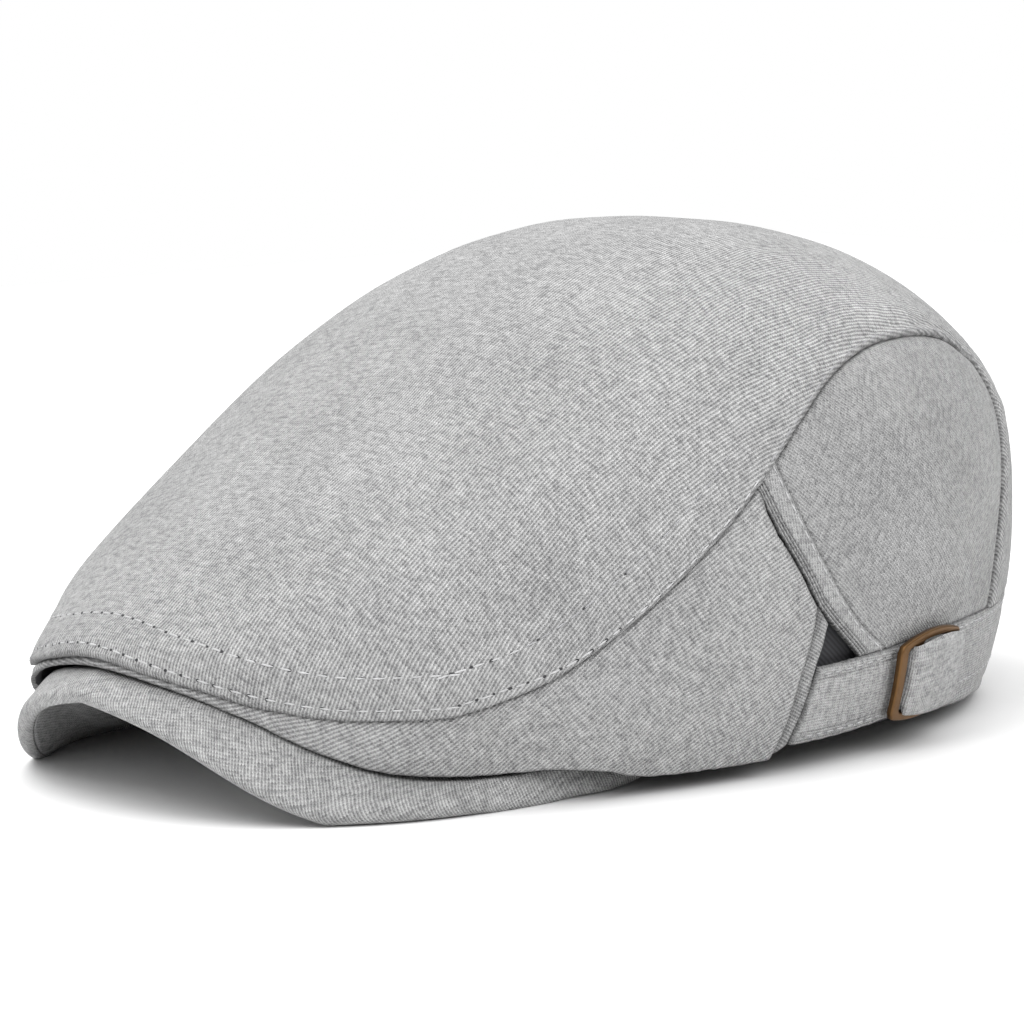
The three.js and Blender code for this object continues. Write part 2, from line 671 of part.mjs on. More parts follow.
// Layer of the brim between two depths under its upper face, set back from the rim.
function brimLayer(top, foot, setBack, wrapped) {
  const loops = evenly(-BRIM_TIP_ANGLE, BRIM_TIP_ANGLE, BRIM_CELLS).map((angle) => {
    const { azimuth, profile } = brimProfile(angle);
    const along = profile[1].clone().sub(profile[0]).normalize();
    const normals = profileNormals(profile);
    const line = (depth, back) => {
      const moved = profile.map((spot, i) => spot.clone().addScaledVector(normals[i], depth));
      moved[0].addScaledVector(along, back);
      return moved;
    };
    const upper = line(top, setBack);
    const lower = line(foot, wrapped ? BRIM_COVER : setBack).reverse();
    const rim = wrapped ? [line(BRIM_STACK, BRIM_COVER)[0], line(BRIM_STACK, 0)[0]] : [];
    const turn = degrees(azimuth);
    return [...upper, ...lower, ...rim].map(
      ({ x, y }) => new THREE.Vector3(x * Math.sin(turn), CROWN_CENTRE - x * Math.cos(turn), Math.max(y, 0)),
    );
  });
  const rows = 5;
  const ends = [];
  for (let i = 0; i < rows - 1; i += 1) {
    const opposite = 2 * rows - 1 - i;
    ends.push([i, i + 1, opposite - 1], [i, opposite - 1, opposite]);
  }
  if (wrapped) ends.push([0, 2 * rows - 1, 2 * rows], [0, 2 * rows, 2 * rows + 1]);
  return sweep(loops, ends, rows);
}

const boardTop = BRIM_COVER + BRIM_PLAY;
const underTop = boardTop + BRIM_BOARD + BRIM_PLAY;
const brimTopCover = () => brimLayer(0, BRIM_COVER, 0, true);
const rimSetBack = BRIM_COVER + 3 * BRIM_PLAY;
const brimBoard = () => brimLayer(boardTop, boardTop + BRIM_BOARD, rimSetBack, false);
const brimUnderCover = () => brimLayer(underTop, BRIM_STACK, rimSetBack, false);

// Degrees round the wall for a millimetre along it, at the buckle.
const strapSpot = (azimuth) => onWall(azimuth, BAND_HEIGHT - STRAP_WIDTH / 2);
const degreesPerLength =
  (STRAP_END_AZIMUTH - BUCKLE_AZIMUTH) / strapSpot(BUCKLE_AZIMUTH).distanceTo(strapSpot(STRAP_END_AZIMUTH));
const BUCKLE_LIFT = SEAM_GAP + LOOP_CLOTH + LOOP_PLAY;

// Bends a solid drawn along, up and out from the strap's line onto the wall.
function onStrapLine(geometry) {
  geometry.deleteAttribute("normal");
  geometry.deleteAttribute("uv");
  const welded = mergeVertices(geometry, SEAM_GAP / 100);
  const places = welded.getAttribute("position");
  const points = [];
  for (let k = 0; k < places.count; k += 1) {
    const azimuth = BUCKLE_AZIMUTH + places.getX(k) * degreesPerLength;
    points.push(liftedWall(azimuth, bandLine(azimuth) - STRAP_WIDTH / 2 + places.getY(k), places.getZ(k)));
  }
  return closedBody(points, [...welded.index.array]);
}

// How far the buckle's upper and lower sides bulge beyond its ends.
const archAt = (along) => BUCKLE_ARCH * (1 - (2 * along / BUCKLE_LENGTH - 1) ** 2);

// Outline of a slot or of the buckle's frame, with arched upper and lower sides and two knots in each end.
const SIDE_KNOTS = [0.4, -0.4];

function archedOutline(from, to, halfHeight) {
  const arch = (along) => halfHeight + archAt(along);
  const steps = Math.max(2, Math.round((to - from) / BUCKLE_CELL));
  const upper = evenly(from, to, steps).map((along) => new THREE.Vector2(along, arch(along)));
  const lower = evenly(to, from, steps).map((along) => new THREE.Vector2(along, -arch(along)));
  const side = (along, sign) =>
    SIDE_KNOTS.map((share) => new THREE.Vector2(along, sign * share * halfHeight));
  return [...upper, ...side(to, 1), ...lower, ...side(from, -1)];
}

// Slide buckle: a frame with a front bar over the strap, a middle bar and a rear bar.
function buckle() {
  const outer = BUCKLE_HEIGHT / 2;
  const frame = new THREE.Shape(archedOutline(0, BUCKLE_LENGTH, outer).reverse());
  const middleBar = BUCKLE_BAR + BUCKLE_SLOT;
  const slots = [
    [BUCKLE_BAR, middleBar],
    [middleBar + BUCKLE_BAR, BUCKLE_LENGTH - BUCKLE_BAR],
  ];
  frame.holes = slots.map(([from, to]) => new THREE.Path(archedOutline(from, to, outer - BUCKLE_RAIL)));
  const solid = new THREE.ExtrudeGeometry(frame, { depth: BUCKLE_THICKNESS, bevelEnabled: false });
  solid.translate(0, 0, BUCKLE_LIFT);
  return onStrapLine(solid);
}

// Flattened ring of cloth round the buckle's middle and rear bars.
function buckleLoop() {
  const from = BUCKLE_BAR + BUCKLE_SLOT - LOOP_PLAY - LOOP_CLOTH;
  const to = BUCKLE_LENGTH + LOOP_PLAY + LOOP_CLOTH;
  const height = BUCKLE_THICKNESS + 2 * (LOOP_PLAY + LOOP_CLOTH);
  const ringOutline = (inset) => {
    const round = (height / 2 - inset) * LOOP_ROUNDING;
    const [left, right] = [from + inset, to - inset];
    const [low, high] = [inset, height - inset];
    const upper = evenly(left + round, right - round, LOOP_CELLS)
      .map((along) => new THREE.Vector2(along, high));
    const lower = evenly(right - round, left + round, LOOP_CELLS)
      .map((along) => new THREE.Vector2(along, low));
    return [...upper, new THREE.Vector2(right, high - round), new THREE.Vector2(right, low + round),
      ...lower, new THREE.Vector2(left, low + round), new THREE.Vector2(left, high - round)];
  };
  const ring = new THREE.Shape(ringOutline(0).reverse());
  ring.holes = [new THREE.Path(ringOutline(LOOP_CLOTH))];
  const slotMiddle = BUCKLE_BAR + BUCKLE_SLOT / 2;
  const tall = BUCKLE_HEIGHT - 2 * (BUCKLE_RAIL + LOOP_PLAY - archAt(slotMiddle));
  const solid = new THREE.ExtrudeGeometry(ring, { depth: tall, steps: 2, bevelEnabled: false });
  solid.rotateX(Math.PI / 2);
  solid.translate(0, tall / 2, SEAM_GAP);
  return onStrapLine(solid);
}

// The same solid on the cap's other side.
function mirrored(geometry) {
  const places = geometry.getAttribute("position");
  const points = [];
  for (let k = 0; k < places.count; k += 1) {
    points.push(new THREE.Vector3(-places.getX(k), places.getY(k), places.getZ(k)));
  }
  return closedBody(points, [...geometry.index.array]);
}

const CLOTH_LOOK = { roughness: 0.95, metalness: 0 };
const BRASS_LOOK = { roughness: 0.42, metalness: 1 };

function part(name, geometry, colour, look) {
  const mesh = new THREE.Mesh(geometry, new THREE.MeshStandardMaterial({ color: colour, ...look }));
  mesh.name = name;
  return mesh;
}

const cap = new THREE.Group();
const pairs = [
  ["side_panel", sidePanel(), "#a7a7a7", CLOTH_LOOK],
  ["slit_binding", slitBinding(), "#b4b4b4", CLOTH_LOOK],
  ["back_panel", backPanel(), "#aaaaaa", CLOTH_LOOK],
  ["edge_strip", edgeStrip(), "#a4a4a4", CLOTH_LOOK],
  ["strap", strap(), "#a6a6a6", CLOTH_LOOK],
  ["buckle", buckle(), "#8a6a3c", BRASS_LOOK],
  ["buckle_loop", buckleLoop(), "#b8b8b8", CLOTH_LOOK],
];
for (const [name, geometry, colour, look] of pairs) {
  cap.add(part(`${name}_left`, geometry, colour, look));
  cap.add(part(`${name}_right`, mirrored(geometry), colour, look));
}
cap.add(part("crown_top", crownTop(), "#bfbfbf", CLOTH_LOOK));
cap.add(part("rear_band", rearBand(), "#a4a4a4", CLOTH_LOOK));
cap.add(part("sweatband", sweatband(), "#353535", CLOTH_LOOK));
cap.add(part("brim_top_cover", brimTopCover(), "#b2b2b2", CLOTH_LOOK));
cap.add(part("brim_board", brimBoard(), "#d8d8d4", CLOTH_LOOK));
cap.add(part("brim_under_cover", brimUnderCover(), "#a0a0a0", CLOTH_LOOK));

export default cap;
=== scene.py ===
"""Flat cap in heather jersey: six sewn panels, a padded brim and two buckled straps.

Lengths are in millimetres until a mesh is made, and in metres from there on. X points to the wearer's
left, the front is at -Y and the floor is Z = 0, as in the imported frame.
"""

import logging
import math
from dataclasses import dataclass, field, replace
from enum import Enum
from typing import Callable, ClassVar, Sequence

import bmesh
import bpy
import numpy as np
from mathutils import Matrix, Vector
from mathutils.bvhtree import BVHTree


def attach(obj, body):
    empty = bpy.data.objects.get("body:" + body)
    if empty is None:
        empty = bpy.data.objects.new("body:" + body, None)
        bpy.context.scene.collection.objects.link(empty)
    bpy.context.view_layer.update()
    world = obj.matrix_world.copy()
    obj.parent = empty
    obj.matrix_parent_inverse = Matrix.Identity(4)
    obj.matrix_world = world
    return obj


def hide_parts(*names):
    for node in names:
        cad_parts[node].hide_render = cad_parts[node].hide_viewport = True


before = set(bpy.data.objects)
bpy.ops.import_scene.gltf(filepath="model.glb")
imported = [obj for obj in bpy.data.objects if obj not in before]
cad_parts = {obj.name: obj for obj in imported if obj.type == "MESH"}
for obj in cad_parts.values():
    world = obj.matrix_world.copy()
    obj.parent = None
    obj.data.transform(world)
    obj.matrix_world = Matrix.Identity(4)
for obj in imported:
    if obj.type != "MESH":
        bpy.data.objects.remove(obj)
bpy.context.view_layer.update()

log = logging.getLogger("cap")
MM = 0.001
SEED = 11

Array = np.ndarray
Edge = Callable[[Array], Array]


def linear(colour: str) -> tuple[float, float, float, float]:
    """Turn an sRGB hex colour into linear light.

    Args:
        colour: six hex digits after a hash.

    Returns:
        Red, green, blue and alpha for a colour socket.
    """
    values = [int(colour[i:i + 2], 16) / 255 for i in (1, 3, 5)]
    light = [v / 12.92 if v <= 0.04045 else ((v + 0.055) / 1.055) ** 2.4 for v in values]
    return (*light, 1.0)


def smooth(value: Array, low: float, high: float) -> Array:
    """Rise from 0 at low to 1 at high with level ends."""
    share = np.clip((np.asarray(value, float) - low) / (high - low), 0, 1)
    return share * share * (3 - 2 * share)


def unit(vectors: Array) -> Array:
    """Vectors with the length of their last axis brought to 1."""
    return vectors / np.linalg.norm(vectors, axis=-1, keepdims=True)


def running_length(points: Array) -> Array:
    """Length along one or more lines of points, from the start of each line to each of its points."""
    steps = np.linalg.norm(np.diff(points, axis=-2), axis=-1)
    return np.concatenate([np.zeros((*steps.shape[:-1], 1)), np.cumsum(steps, -1)], -1)


def powered(value: Array, power: float) -> Array:
    """Value with its size raised to a power and its sign kept."""
    return np.sign(value) * np.abs(value) ** power


def curved(knots: Array, first: Array, steps: int) -> Array:
    """Centripetal curves through lines of knots.

    Args:
        knots: as lines by knots by coordinates.
        first: the spot that each line would have before its first knot.
        steps: points from each knot to the next.

    Returns:
        Closely set points, as lines by points by coordinates.
    """
    padded = np.concatenate([first, knots, 2 * knots[:, -1:] - knots[:, -2:-1]], 1)
    share = np.linspace(0, 1, steps, endpoint=False)[None, :, None]
    pieces = []
    for i in range(knots.shape[1] - 1):
        p0, p1, p2, p3 = (padded[:, i + k][:, None] for k in range(4))
        d0, d1, d2 = (np.maximum(np.linalg.norm(b - a, axis=2, keepdims=True), 1e-3) ** 0.5
                      for a, b in ((p0, p1), (p1, p2), (p2, p3)))
        t1 = ((p1 - p0) / d0 - (p2 - p0) / (d0 + d1) + (p2 - p1) / d1) * d1
        t2 = ((p2 - p1) / d1 - (p3 - p1) / (d1 + d2) + (p3 - p2) / d2) * d1
        pieces.append(p1 + t1 * share + (-3 * p1 + 3 * p2 - 2 * t1 - t2) * share ** 2
                      + (2 * p1 - 2 * p2 + t1 + t2) * share ** 3)
    return np.concatenate([*pieces, knots[:, -1:]], 1)


class Spline:
    """Natural cubic spline through a table."""

    def __init__(self, xs: Sequence[float], ys: Sequence[float]) -> None:
        """Solve the spline's bends.

        Args:
            xs: rising places of the knots.
            ys: values at the knots.
        """
        self.xs, self.ys = np.asarray(xs, float), np.asarray(ys, float)
        count = len(self.xs)
        matrix, right = np.eye(count), np.zeros(count)
        for i in range(1, count - 1):
            before, after = self.xs[i] - self.xs[i - 1], self.xs[i + 1] - self.xs[i]
            matrix[i, i - 1:i + 2] = before, 2 * (before + after), after
            steep, steeper = self.ys[i] - self.ys[i - 1], self.ys[i + 1] - self.ys[i]
            right[i] = 6 * (steeper / after - steep / before)
        self.bend = np.linalg.solve(matrix, right)

    def __call__(self, value: Array) -> Array:
        """Read the spline, which holds its end values beyond its ends.

        Args:
            value: places to read it at.

        Returns:
            The spline's value at each place.
        """
        x = np.clip(value, self.xs[0], self.xs[-1])
        i = np.clip(np.searchsorted(self.xs, x) - 1, 0, len(self.xs) - 2)
        span = self.xs[i + 1] - self.xs[i]
        a = (self.xs[i + 1] - x) / span
        b = 1 - a
        curve = ((a ** 3 - a) * self.bend[i] + (b ** 3 - b) * self.bend[i + 1]) * span ** 2 / 6
        return a * self.ys[i] + b * self.ys[i + 1] + curve


@dataclass(frozen=True)
class Crown:
    """Outer face of the crown, as cross-sections from front to back.

    The rows give, at shares of the length, the half width as a share of the greatest one, the rise over
    the widest height and that height as shares of the crown's height, and the exponent of the section.
    """

    halvings: ClassVar[int] = 26
    probe: ClassVar[float] = 0.004

    length: float = 277.0
    width: float = 195.4
    height: float = 125.7
    centre: float = 2.65
    taper_reach: float = 2.23
    taper_square: float = 2.2
    along: tuple[float, ...] = (0, 0.02, 0.08, 0.18, 0.32, 0.5, 0.68, 0.82, 0.92, 1)
    full: tuple[float, ...] = (0.909, 0.917, 0.936, 0.953, 0.981, 1, 1.002, 0.995, 0.986, 0.963)
    rise: tuple[float, ...] = (0.248, 0.276, 0.348, 0.434, 0.554, 0.646, 0.641, 0.615, 0.619, 0.63)
    widest: tuple[float, ...] = (0.263, 0.259, 0.248, 0.236, 0.242, 0.31, 0.394, 0.424, 0.428, 0.426)
    square: tuple[float, ...] = (2.06, 2.08, 2.15, 2.25, 2.37, 2.45, 2.43, 2.35, 2.28, 2.22)
    splines: dict[str, Spline] = field(default_factory=dict)

    def __post_init__(self) -> None:
        """Fit the splines of the section table."""
        turn = np.arccos(1 - 2 * np.asarray(self.along))
        for name in ("full", "rise", "widest", "square"):
            self.splines[name] = Spline(turn, getattr(self, name))

    @property
    def core(self) -> Array:
        """Point inside the crown that sees all of its outer face."""
        return np.array([0, self.centre, self.height / 5])

    def section(self, y: Array) -> tuple[Array, Array, Array, Array]:
        """Read the section table.

        Args:
            y: places from front to back.

        Returns:
            Half width, rise, widest height and exponent of the section at each place.
        """
        share = np.clip((y - self.centre) / self.length + 0.5, 1e-6, 1 - 1e-6)
        turn = np.arccos(1 - 2 * share)
        half = self.width / 2 * self.splines["full"](turn) * np.sin(turn)
        rise = self.height * self.splines["rise"](turn) * np.sin(turn)
        return half, rise, self.height * self.splines["widest"](turn), self.splines["square"](turn)

    def outside(self, points: Array) -> Array:
        """Tell on which side of the outer face points lie.

        Args:
            points: to be looked at.

        Returns:
            0 on the face, negative inside and positive outside.
        """
        x, y, z = np.abs(points[:, 0]), points[:, 1], points[:, 2]
        half, rise, widest, square = self.section(y)
        far = np.abs(y - self.centre) > self.length / 2
        lift = np.maximum(z - widest, 0)
        above = (x / half) ** square + (lift / rise) ** square - 1
        depth = np.clip((widest - z) / widest / self.taper_reach, 0, 0.999)
        shrink = (1 - depth ** self.taper_square) ** (1 / self.taper_square)
        full = self.centre + (y - self.centre) / shrink
        below = x / shrink / self.section(full)[0] - 1
        below = np.where(np.abs(full - self.centre) > self.length / 2, 1.0, below)
        return np.where(z >= widest, np.where(far, 1.0, above), below)

    def cast(self, origin: Array, direction: Array) -> Array:
        """Points of the outer face on rays from inner points.

        Args:
            origin: one start, or one for each ray.
            direction: one unit vector for each ray.

        Returns:
            One point for each ray.
        """
        near, far = np.zeros(len(direction)), np.full(len(direction), self.length)
        for _ in range(self.halvings):
            middle = (near + far) / 2
            inside = self.outside(origin + direction * middle[:, None]) < 0
            near, far = np.where(inside, middle, near), np.where(inside, far, middle)
        return origin + direction * ((near + far) / 2)[:, None]

    def on_wall(self, azimuth: Array, height: Array) -> Array:
        """Find points of the wall.

        Args:
            azimuth: degrees from the centre front.
            height: over the floor.

        Returns:
            Points of the outer face, one for each azimuth.
        """
        turn = np.radians(azimuth)
        origin = np.stack([turn * 0, turn * 0 + self.centre, height + turn * 0], -1)
        return self.cast(origin, np.stack([np.sin(turn), -np.cos(turn), turn * 0], -1))

    def onto(self, points: Array) -> Array:
        """Points moved onto the outer face, seen from the core."""
        return self.cast(self.core, unit(points - self.core))

    def normals(self, points: Array) -> Array:
        """Find which way the outer face looks.

        Args:
            points: on the face.

        Returns:
            Unit normals.
        """
        ray = unit(points - self.core)
        side = unit(np.cross([0, 0, 1], ray))
        steps = [way * self.probe for way in (side, np.cross(ray, side))]
        across, upward = (self.onto(self.core + ray + step) - self.onto(self.core + ray - step)
                          for step in steps)
        return unit(np.cross(across, upward))

    def to_chart(self, points: Array) -> Array:
        """Lay points of the dome out flat, by azimuth and angle from straight up.

        Args:
            points: on the outer face.

        Returns:
            Spots of the chart, in radians.
        """
        ray = unit(points - self.core)
        flat = np.hypot(ray[:, 0], ray[:, 1])
        tilt = np.arccos(np.clip(ray[:, 2], -1, 1))
        return ray[:, :2] * (tilt / np.maximum(flat, 1e-9))[:, None]

    def from_chart(self, spots: Array) -> Array:
        """Find points of the dome from its chart.

        Args:
            spots: of the chart, in radians.

        Returns:
            Points of the outer face.
        """
        tilt = np.linalg.norm(spots, axis=1)
        spread = np.where(tilt > 1e-6, np.sin(tilt) / np.maximum(tilt, 1e-9), 1)
        ray = np.concatenate([spots * spread[:, None], np.cos(tilt)[:, None]], 1)
        return self.cast(self.core, ray)


CROWN = Crown()
BAND_HEIGHT, BAND_DIP = 27.4, 2.3
STRAP_END, TAIL_END, BACK = 120.0, 135.0, 180.0
BUCKLE_START = 105.2
STRAP_WIDTH = 18.4
PROBE_REACH = 6.0
HEM_LIFT = 4.0
SWEATBAND_LIFT = 6.5
CLOTH = 2.0
SEAM_GAP = 0.3
SEAM_STEP = 1.5
BATCH = 4000
MIRROR = np.array([-1, 1, 1])
SIDES = {"left": np.ones(3), "right": MIRROR}


def band_line(azimuth: Array) -> Array:
    """Height of the strap's and the rear band's upper edge."""
    return BAND_HEIGHT - BAND_DIP * (1 - smooth(azimuth, 89.9, STRAP_END))


class Path:
    """Curve through knots, followed by other such curves, each with its share of the whole."""

    steps: ClassVar[int] = 60

    def __init__(self, *runs: tuple[Sequence[tuple[float, float]], float]) -> None:
        """Sample each run evenly by its length.

        Args:
            runs: knots and the cells that the run counts for. A run that starts at the centre front
                starts level.
        """
        shares, spots, start = [], [], 0.0
        for knots, cells in runs:
            points = self.curve(np.asarray(knots, float))
            run = running_length(points)
            shares.append(start + cells * run / run[-1])
            spots.append(points)
            start += cells
        self.shares = np.concatenate(shares) / start
        self.spots = np.concatenate(spots)

    def curve(self, knots: Array) -> Array:
        """Curve through 2-D knots."""
        first = knots[1] * [-1, 1] if knots[0, 0] == 0 else 2 * knots[0] - knots[1]
        return curved(knots[None], first[None, None], self.steps)[0]

    def __call__(self, share: Array) -> Array:
        """Spots at shares of the whole path."""
        share = np.atleast_1d(share)
        return np.stack([np.interp(share, self.shares, self.spots[:, k]) for k in (0, 1)], -1)


def scaled(rows: Sequence[tuple[float, float]]) -> list[tuple[float, float]]:
    """Rows of azimuth and height, from shares of the crown's height to millimetres."""
    return [(azimuth, height * CROWN.height) for azimuth, height in rows]


def on_band(azimuth: float) -> tuple[float, float]:
    """Spot of the band line at an azimuth."""
    return azimuth, float(band_line(azimuth))


SEAM_BEAK = scaled([(0, .275), (10, .247), (19, .207), (27, .184), (38, .183)])
SEAM_SIDE = scaled([(38, .183), (48, .23), (61, .341), (74, .473), (81, .549)])
SEAM_REAR = scaled([(85, .592), (92, .66), (102, .733), (114, .776), (126, .779), (136, .757),
                    (142.5, .705)])
SEAM_TAIL = scaled([(142.5, .705), (143, .63), (140, .5), (137, .35)]) + [on_band(TAIL_END)]
HEM_LINE = scaled([(0, .258), (9, .236), (17, .187), (24, .121), (30, .081), (37, .066), (50, .066),
                   (56, .055), (61, .037), (70, .031), (82.8, .032)])
SLIT_EDGE = scaled([(81, .549), (83.1, .477), (87.5, .375), (89.9, .318)])
PANEL_REAR = scaled([(89.9, .318), (88.3, .258), (86.4, .186), (84.9, .108), (82.8, .032)])
OPENING_EDGE = scaled([(89.9, .318), (92.4, .282)]) + [on_band(98.8)]
BINDING_REAR = scaled([(85, .592), (86.5, .53), (91, .401), (97.8, .278)]) + [on_band(104.6)]
STRIP_REAR = scaled([(92.2, .275), (90.3, .2), (88.9, .13), (86.4, .048)])
SLIT_TOP = [SEAM_SIDE[-1], SEAM_REAR[0]]


class Side(Enum):
    """Border of a panel's grid."""

    FOOT = "foot"
    TOP = "top"
    FRONT = "front"
    REAR = "rear"


@dataclass(frozen=True)
class Border:
    """How the cloth ends at a border, by the distance from it.

    The outer face drops by depth within roll, and a free edge thins out with it. A pad raises the cloth
    as far in as its width. Rows of sewing press grooves, and pucker waves lie between them. Painted shade
    darkens the cloth's colour: shade at the border, within shade_width, and row_shade at the rows.
    """

    waves: ClassVar[tuple[tuple[float, float], ...]] = ((7.3, 0.4), (4.7, 2.1), (11.9, 4.4))

    depth: float = 1.0
    roll: float = 1.3
    free: bool = False
    pad: float = 0.0
    pad_width: float = 12.0
    rows: tuple[float, ...] = ()
    row_width: float = 0.9
    groove: float = 0.3
    pucker: float = 0.0
    shade: float = 0.45
    shade_width: float = 0.55
    row_shade: float = 0.0

    def crease(self, distance: Array) -> Array:
        """Tell how much painted shade darkens the cloth's colour at the border and at its rows.

        Args:
            distance: from the border.

        Returns:
            Darkening of the colour by painted shade, from 0 to 1.
        """
        painted_shade_amount = self.shade * np.exp(-(distance / self.shade_width) ** 2)
        for row in self.rows:
            painted_shade_amount = np.maximum(painted_shade_amount, self.row_shade * np.exp(-((distance - row) / self.row_width) ** 2))
        return painted_shade_amount

    def rolled(self, distance: Array) -> Array:
        """Drop of the outer face where the cloth rounds off at the border."""
        near = 1 - np.clip(distance / self.roll, 0, 1)
        return -self.depth * (1 - np.sqrt(1 - near ** 2))

    def relief(self, distance: Array, run: Array) -> Array:
        """Height of the outer face over the plain crown.

        Args:
            distance: from the border.
            run: length along the border.

        Returns:
            Heights in millimetres.
        """
        height = self.rolled(distance)
        height = height + self.pad * (1 - smooth(distance, self.pad_width - 2, self.pad_width + 3))
        for row in self.rows:
            height = height - self.groove * np.exp(-((distance - row) / self.row_width) ** 2)
        if self.pucker:
            wave = sum(np.sin(run * 2 * math.pi / length + turn) for length, turn in self.waves)
            reach = max(self.rows, default=0) + 3
            window = np.exp(-(distance / reach) ** 4) * smooth(distance, 0, 2)
            height = height + self.pucker * wave / len(self.waves) * window
        return height


def spread(length: float, fine: float, coarse: float, margin: float) -> Array:
    """Shares from 0 to 1 with short steps near both ends.

    Args:
        length: of the whole, in millimetres.
        fine: step at the ends.
        coarse: step in the middle.
        margin: width of the finely divided ends.

    Returns:
        Rising shares.
    """
    places = np.linspace(0, length, max(200, int(length * 8)))
    near = np.minimum(places, length - places)
    step = fine + (coarse - fine) * smooth(near, margin, margin * 1.8)
    count = np.concatenate([[0], np.cumsum(np.diff(places) / ((step[1:] + step[:-1]) / 2))])
    cells = max(4, round(count[-1]))
    return np.interp(np.linspace(0, count[-1], cells + 1), count, places) / length


def blend_grid(foot: Edge, top: Edge, front: Edge, rear: Edge, us: Array, vs: Array,
               fade: float = 1.0) -> Array:
    """Fill the area between four edges with a grid.

    Args:
        foot: spots of the first row.
        top: spots of the last row.
        front: spots of the first column.
        rear: spots of the last column.
        us: shares along the rows.
        vs: shares along the columns.
        fade: how fast the columns' own curves fade out across the grid.

    Returns:
        Spots as rows by columns by 2.
    """
    low, high = foot(us), top(us)
    u, v = us[None, :, None], vs[:, None, None]
    rows = (1 - v) * low[None] + v * high[None]
    left = front(vs)[:, None] - ((1 - v) * low[0] + v * high[0])
    right = rear(vs)[:, None] - ((1 - v) * low[-1] + v * high[-1])
    return rows + (1 - u) ** fade * left + u ** fade * right


def nearest(points: Array, line: Array) -> tuple[Array, Array]:
    """Find the nearest point of a closely sampled line.

    Args:
        points: to be looked at.
        line: points of the line.

    Returns:
        For each point its distance from the line, and the length along the line there.
    """
    run = running_length(line)
    distance, place = np.empty(len(points)), np.empty(len(points))
    for start in range(0, len(points), BATCH):
        part = slice(start, start + BATCH)
        gaps = np.linalg.norm(points[part][:, None] - line[None], axis=2)
        k = gaps.argmin(1)
        distance[part] = gaps[np.arange(len(k)), k]
        place[part] = run[k]
    return distance, place


def grid_normals(grid: Array) -> Array:
    """Find the normals of a grid of points.

    Args:
        grid: points as rows by columns by 3.

    Returns:
        Unit normals.
    """
    normal = np.cross(np.gradient(grid, axis=1), np.gradient(grid, axis=0))
    return normal / np.maximum(np.linalg.norm(normal, axis=2, keepdims=True), 1e-12)


def signed_volume(points: Array, faces: Array) -> float:
    """Volume of a closed mesh of quads, negative if it is inside out."""
    a, b, c, d = (points[faces[:, k]] for k in range(4))
    halves = [np.einsum("ij,ij->i", a, np.cross(*pair)) for pair in ((b, c), (c, d))]
    return float((halves[0] + halves[1]).sum() / 6)


def shell_faces(rows: int, columns: int, looped: bool) -> Array:
    """Lay quads on a closed shell between two grids that have the same rows and columns.

    Args:
        rows: of each grid.
        columns: of each grid.
        looped: join the last column to the first.

    Returns:
        Corner numbers, where the second grid's points follow the first one's.
    """

    def quads(*corners: tuple[Array | int, Array | int, int]) -> Array:
        """Quads whose corners are given as row, column and grid."""
        numbers = [side * rows * columns + j * columns + i % columns for j, i, side in corners]
        return np.stack(numbers, -1).reshape(-1, 4)

    cells, end = columns if looped else columns - 1, rows - 1
    j, i = np.meshgrid(np.arange(end), np.arange(cells), indexing="ij")
    k, m = np.arange(cells), np.arange(end)
    faces = [quads((j, i, 0), (j, i + 1, 0), (j + 1, i + 1, 0), (j + 1, i, 0)),
             quads((j, i, 1), (j + 1, i, 1), (j + 1, i + 1, 1), (j, i + 1, 1)),
             quads((0, k, 0), (0, k, 1), (0, k + 1, 1), (0, k + 1, 0)),
             quads((end, k, 0), (end, k + 1, 0), (end, k + 1, 1), (end, k, 1))]
    if not looped:
        faces += [quads((m, 0, 0), (m + 1, 0, 0), (m + 1, 0, 1), (m, 0, 1)),
                  quads((m, cells, 0), (m, cells, 1), (m + 1, cells, 1), (m + 1, cells, 0))]
    return np.concatenate(faces)


def linked(name: str, data: bpy.types.ID) -> bpy.types.Object:
    """Make an object of a mesh, curve, light or camera and link it to the scene."""
    made = bpy.data.objects.new(name, data)
    bpy.context.scene.collection.objects.link(made)
    return made


def finished_mesh(holder: bpy.types.Object) -> bpy.types.Mesh:
    """Plain mesh of an object, as its curve or modifiers leave it."""
    depsgraph = bpy.context.evaluated_depsgraph_get()
    return bpy.data.meshes.new_from_object(holder.evaluated_get(depsgraph))


def smooth_faces(mesh: bpy.types.Mesh, layout: Array) -> None:
    """Shade a mesh smooth and write the flat layout of its cloth.

    Args:
        mesh: the mesh.
        layout: spot of the layout for each point of the mesh.
    """
    corners = np.empty(len(mesh.loops), np.int32)
    mesh.loops.foreach_get("vertex_index", corners)
    uv = mesh.uv_layers.new(name="cloth")
    uv.data.foreach_set("uv", layout[corners].astype(np.float32).reshape(-1))
    mesh.polygons.foreach_set("use_smooth", np.ones(len(mesh.polygons), bool))


def make_piece(name: str, points: Array, faces: Array, layout: Array, material: bpy.types.Material,
               crease: Array | None = None) -> bpy.types.Object:
    """Make a smooth mesh object from points in millimetres.

    Args:
        name: of the piece.
        points: places in millimetres.
        faces: corner numbers.
        layout: flat layout of the cloth for each point, in millimetres.
        material: the finish.
        crease: how much painted shade darkens each point in seams and creases.

    Returns:
        The object, linked to the scene.
    """
    if signed_volume(points, faces) < 0:
        faces = faces[:, ::-1]
    mesh = bpy.data.meshes.new(name)
    mesh.from_pydata((points * MM).tolist(), [], faces.tolist())
    smooth_faces(mesh, layout)
    if crease is not None:
        # the crease attribute carries painted shade, which darkens the jersey's colour
        shade = mesh.attributes.new("crease", "FLOAT", "POINT")
        shade.data.foreach_set("value", crease.astype(np.float32))
    mesh.update()
    mesh.materials.append(material)
    return linked(name, mesh)


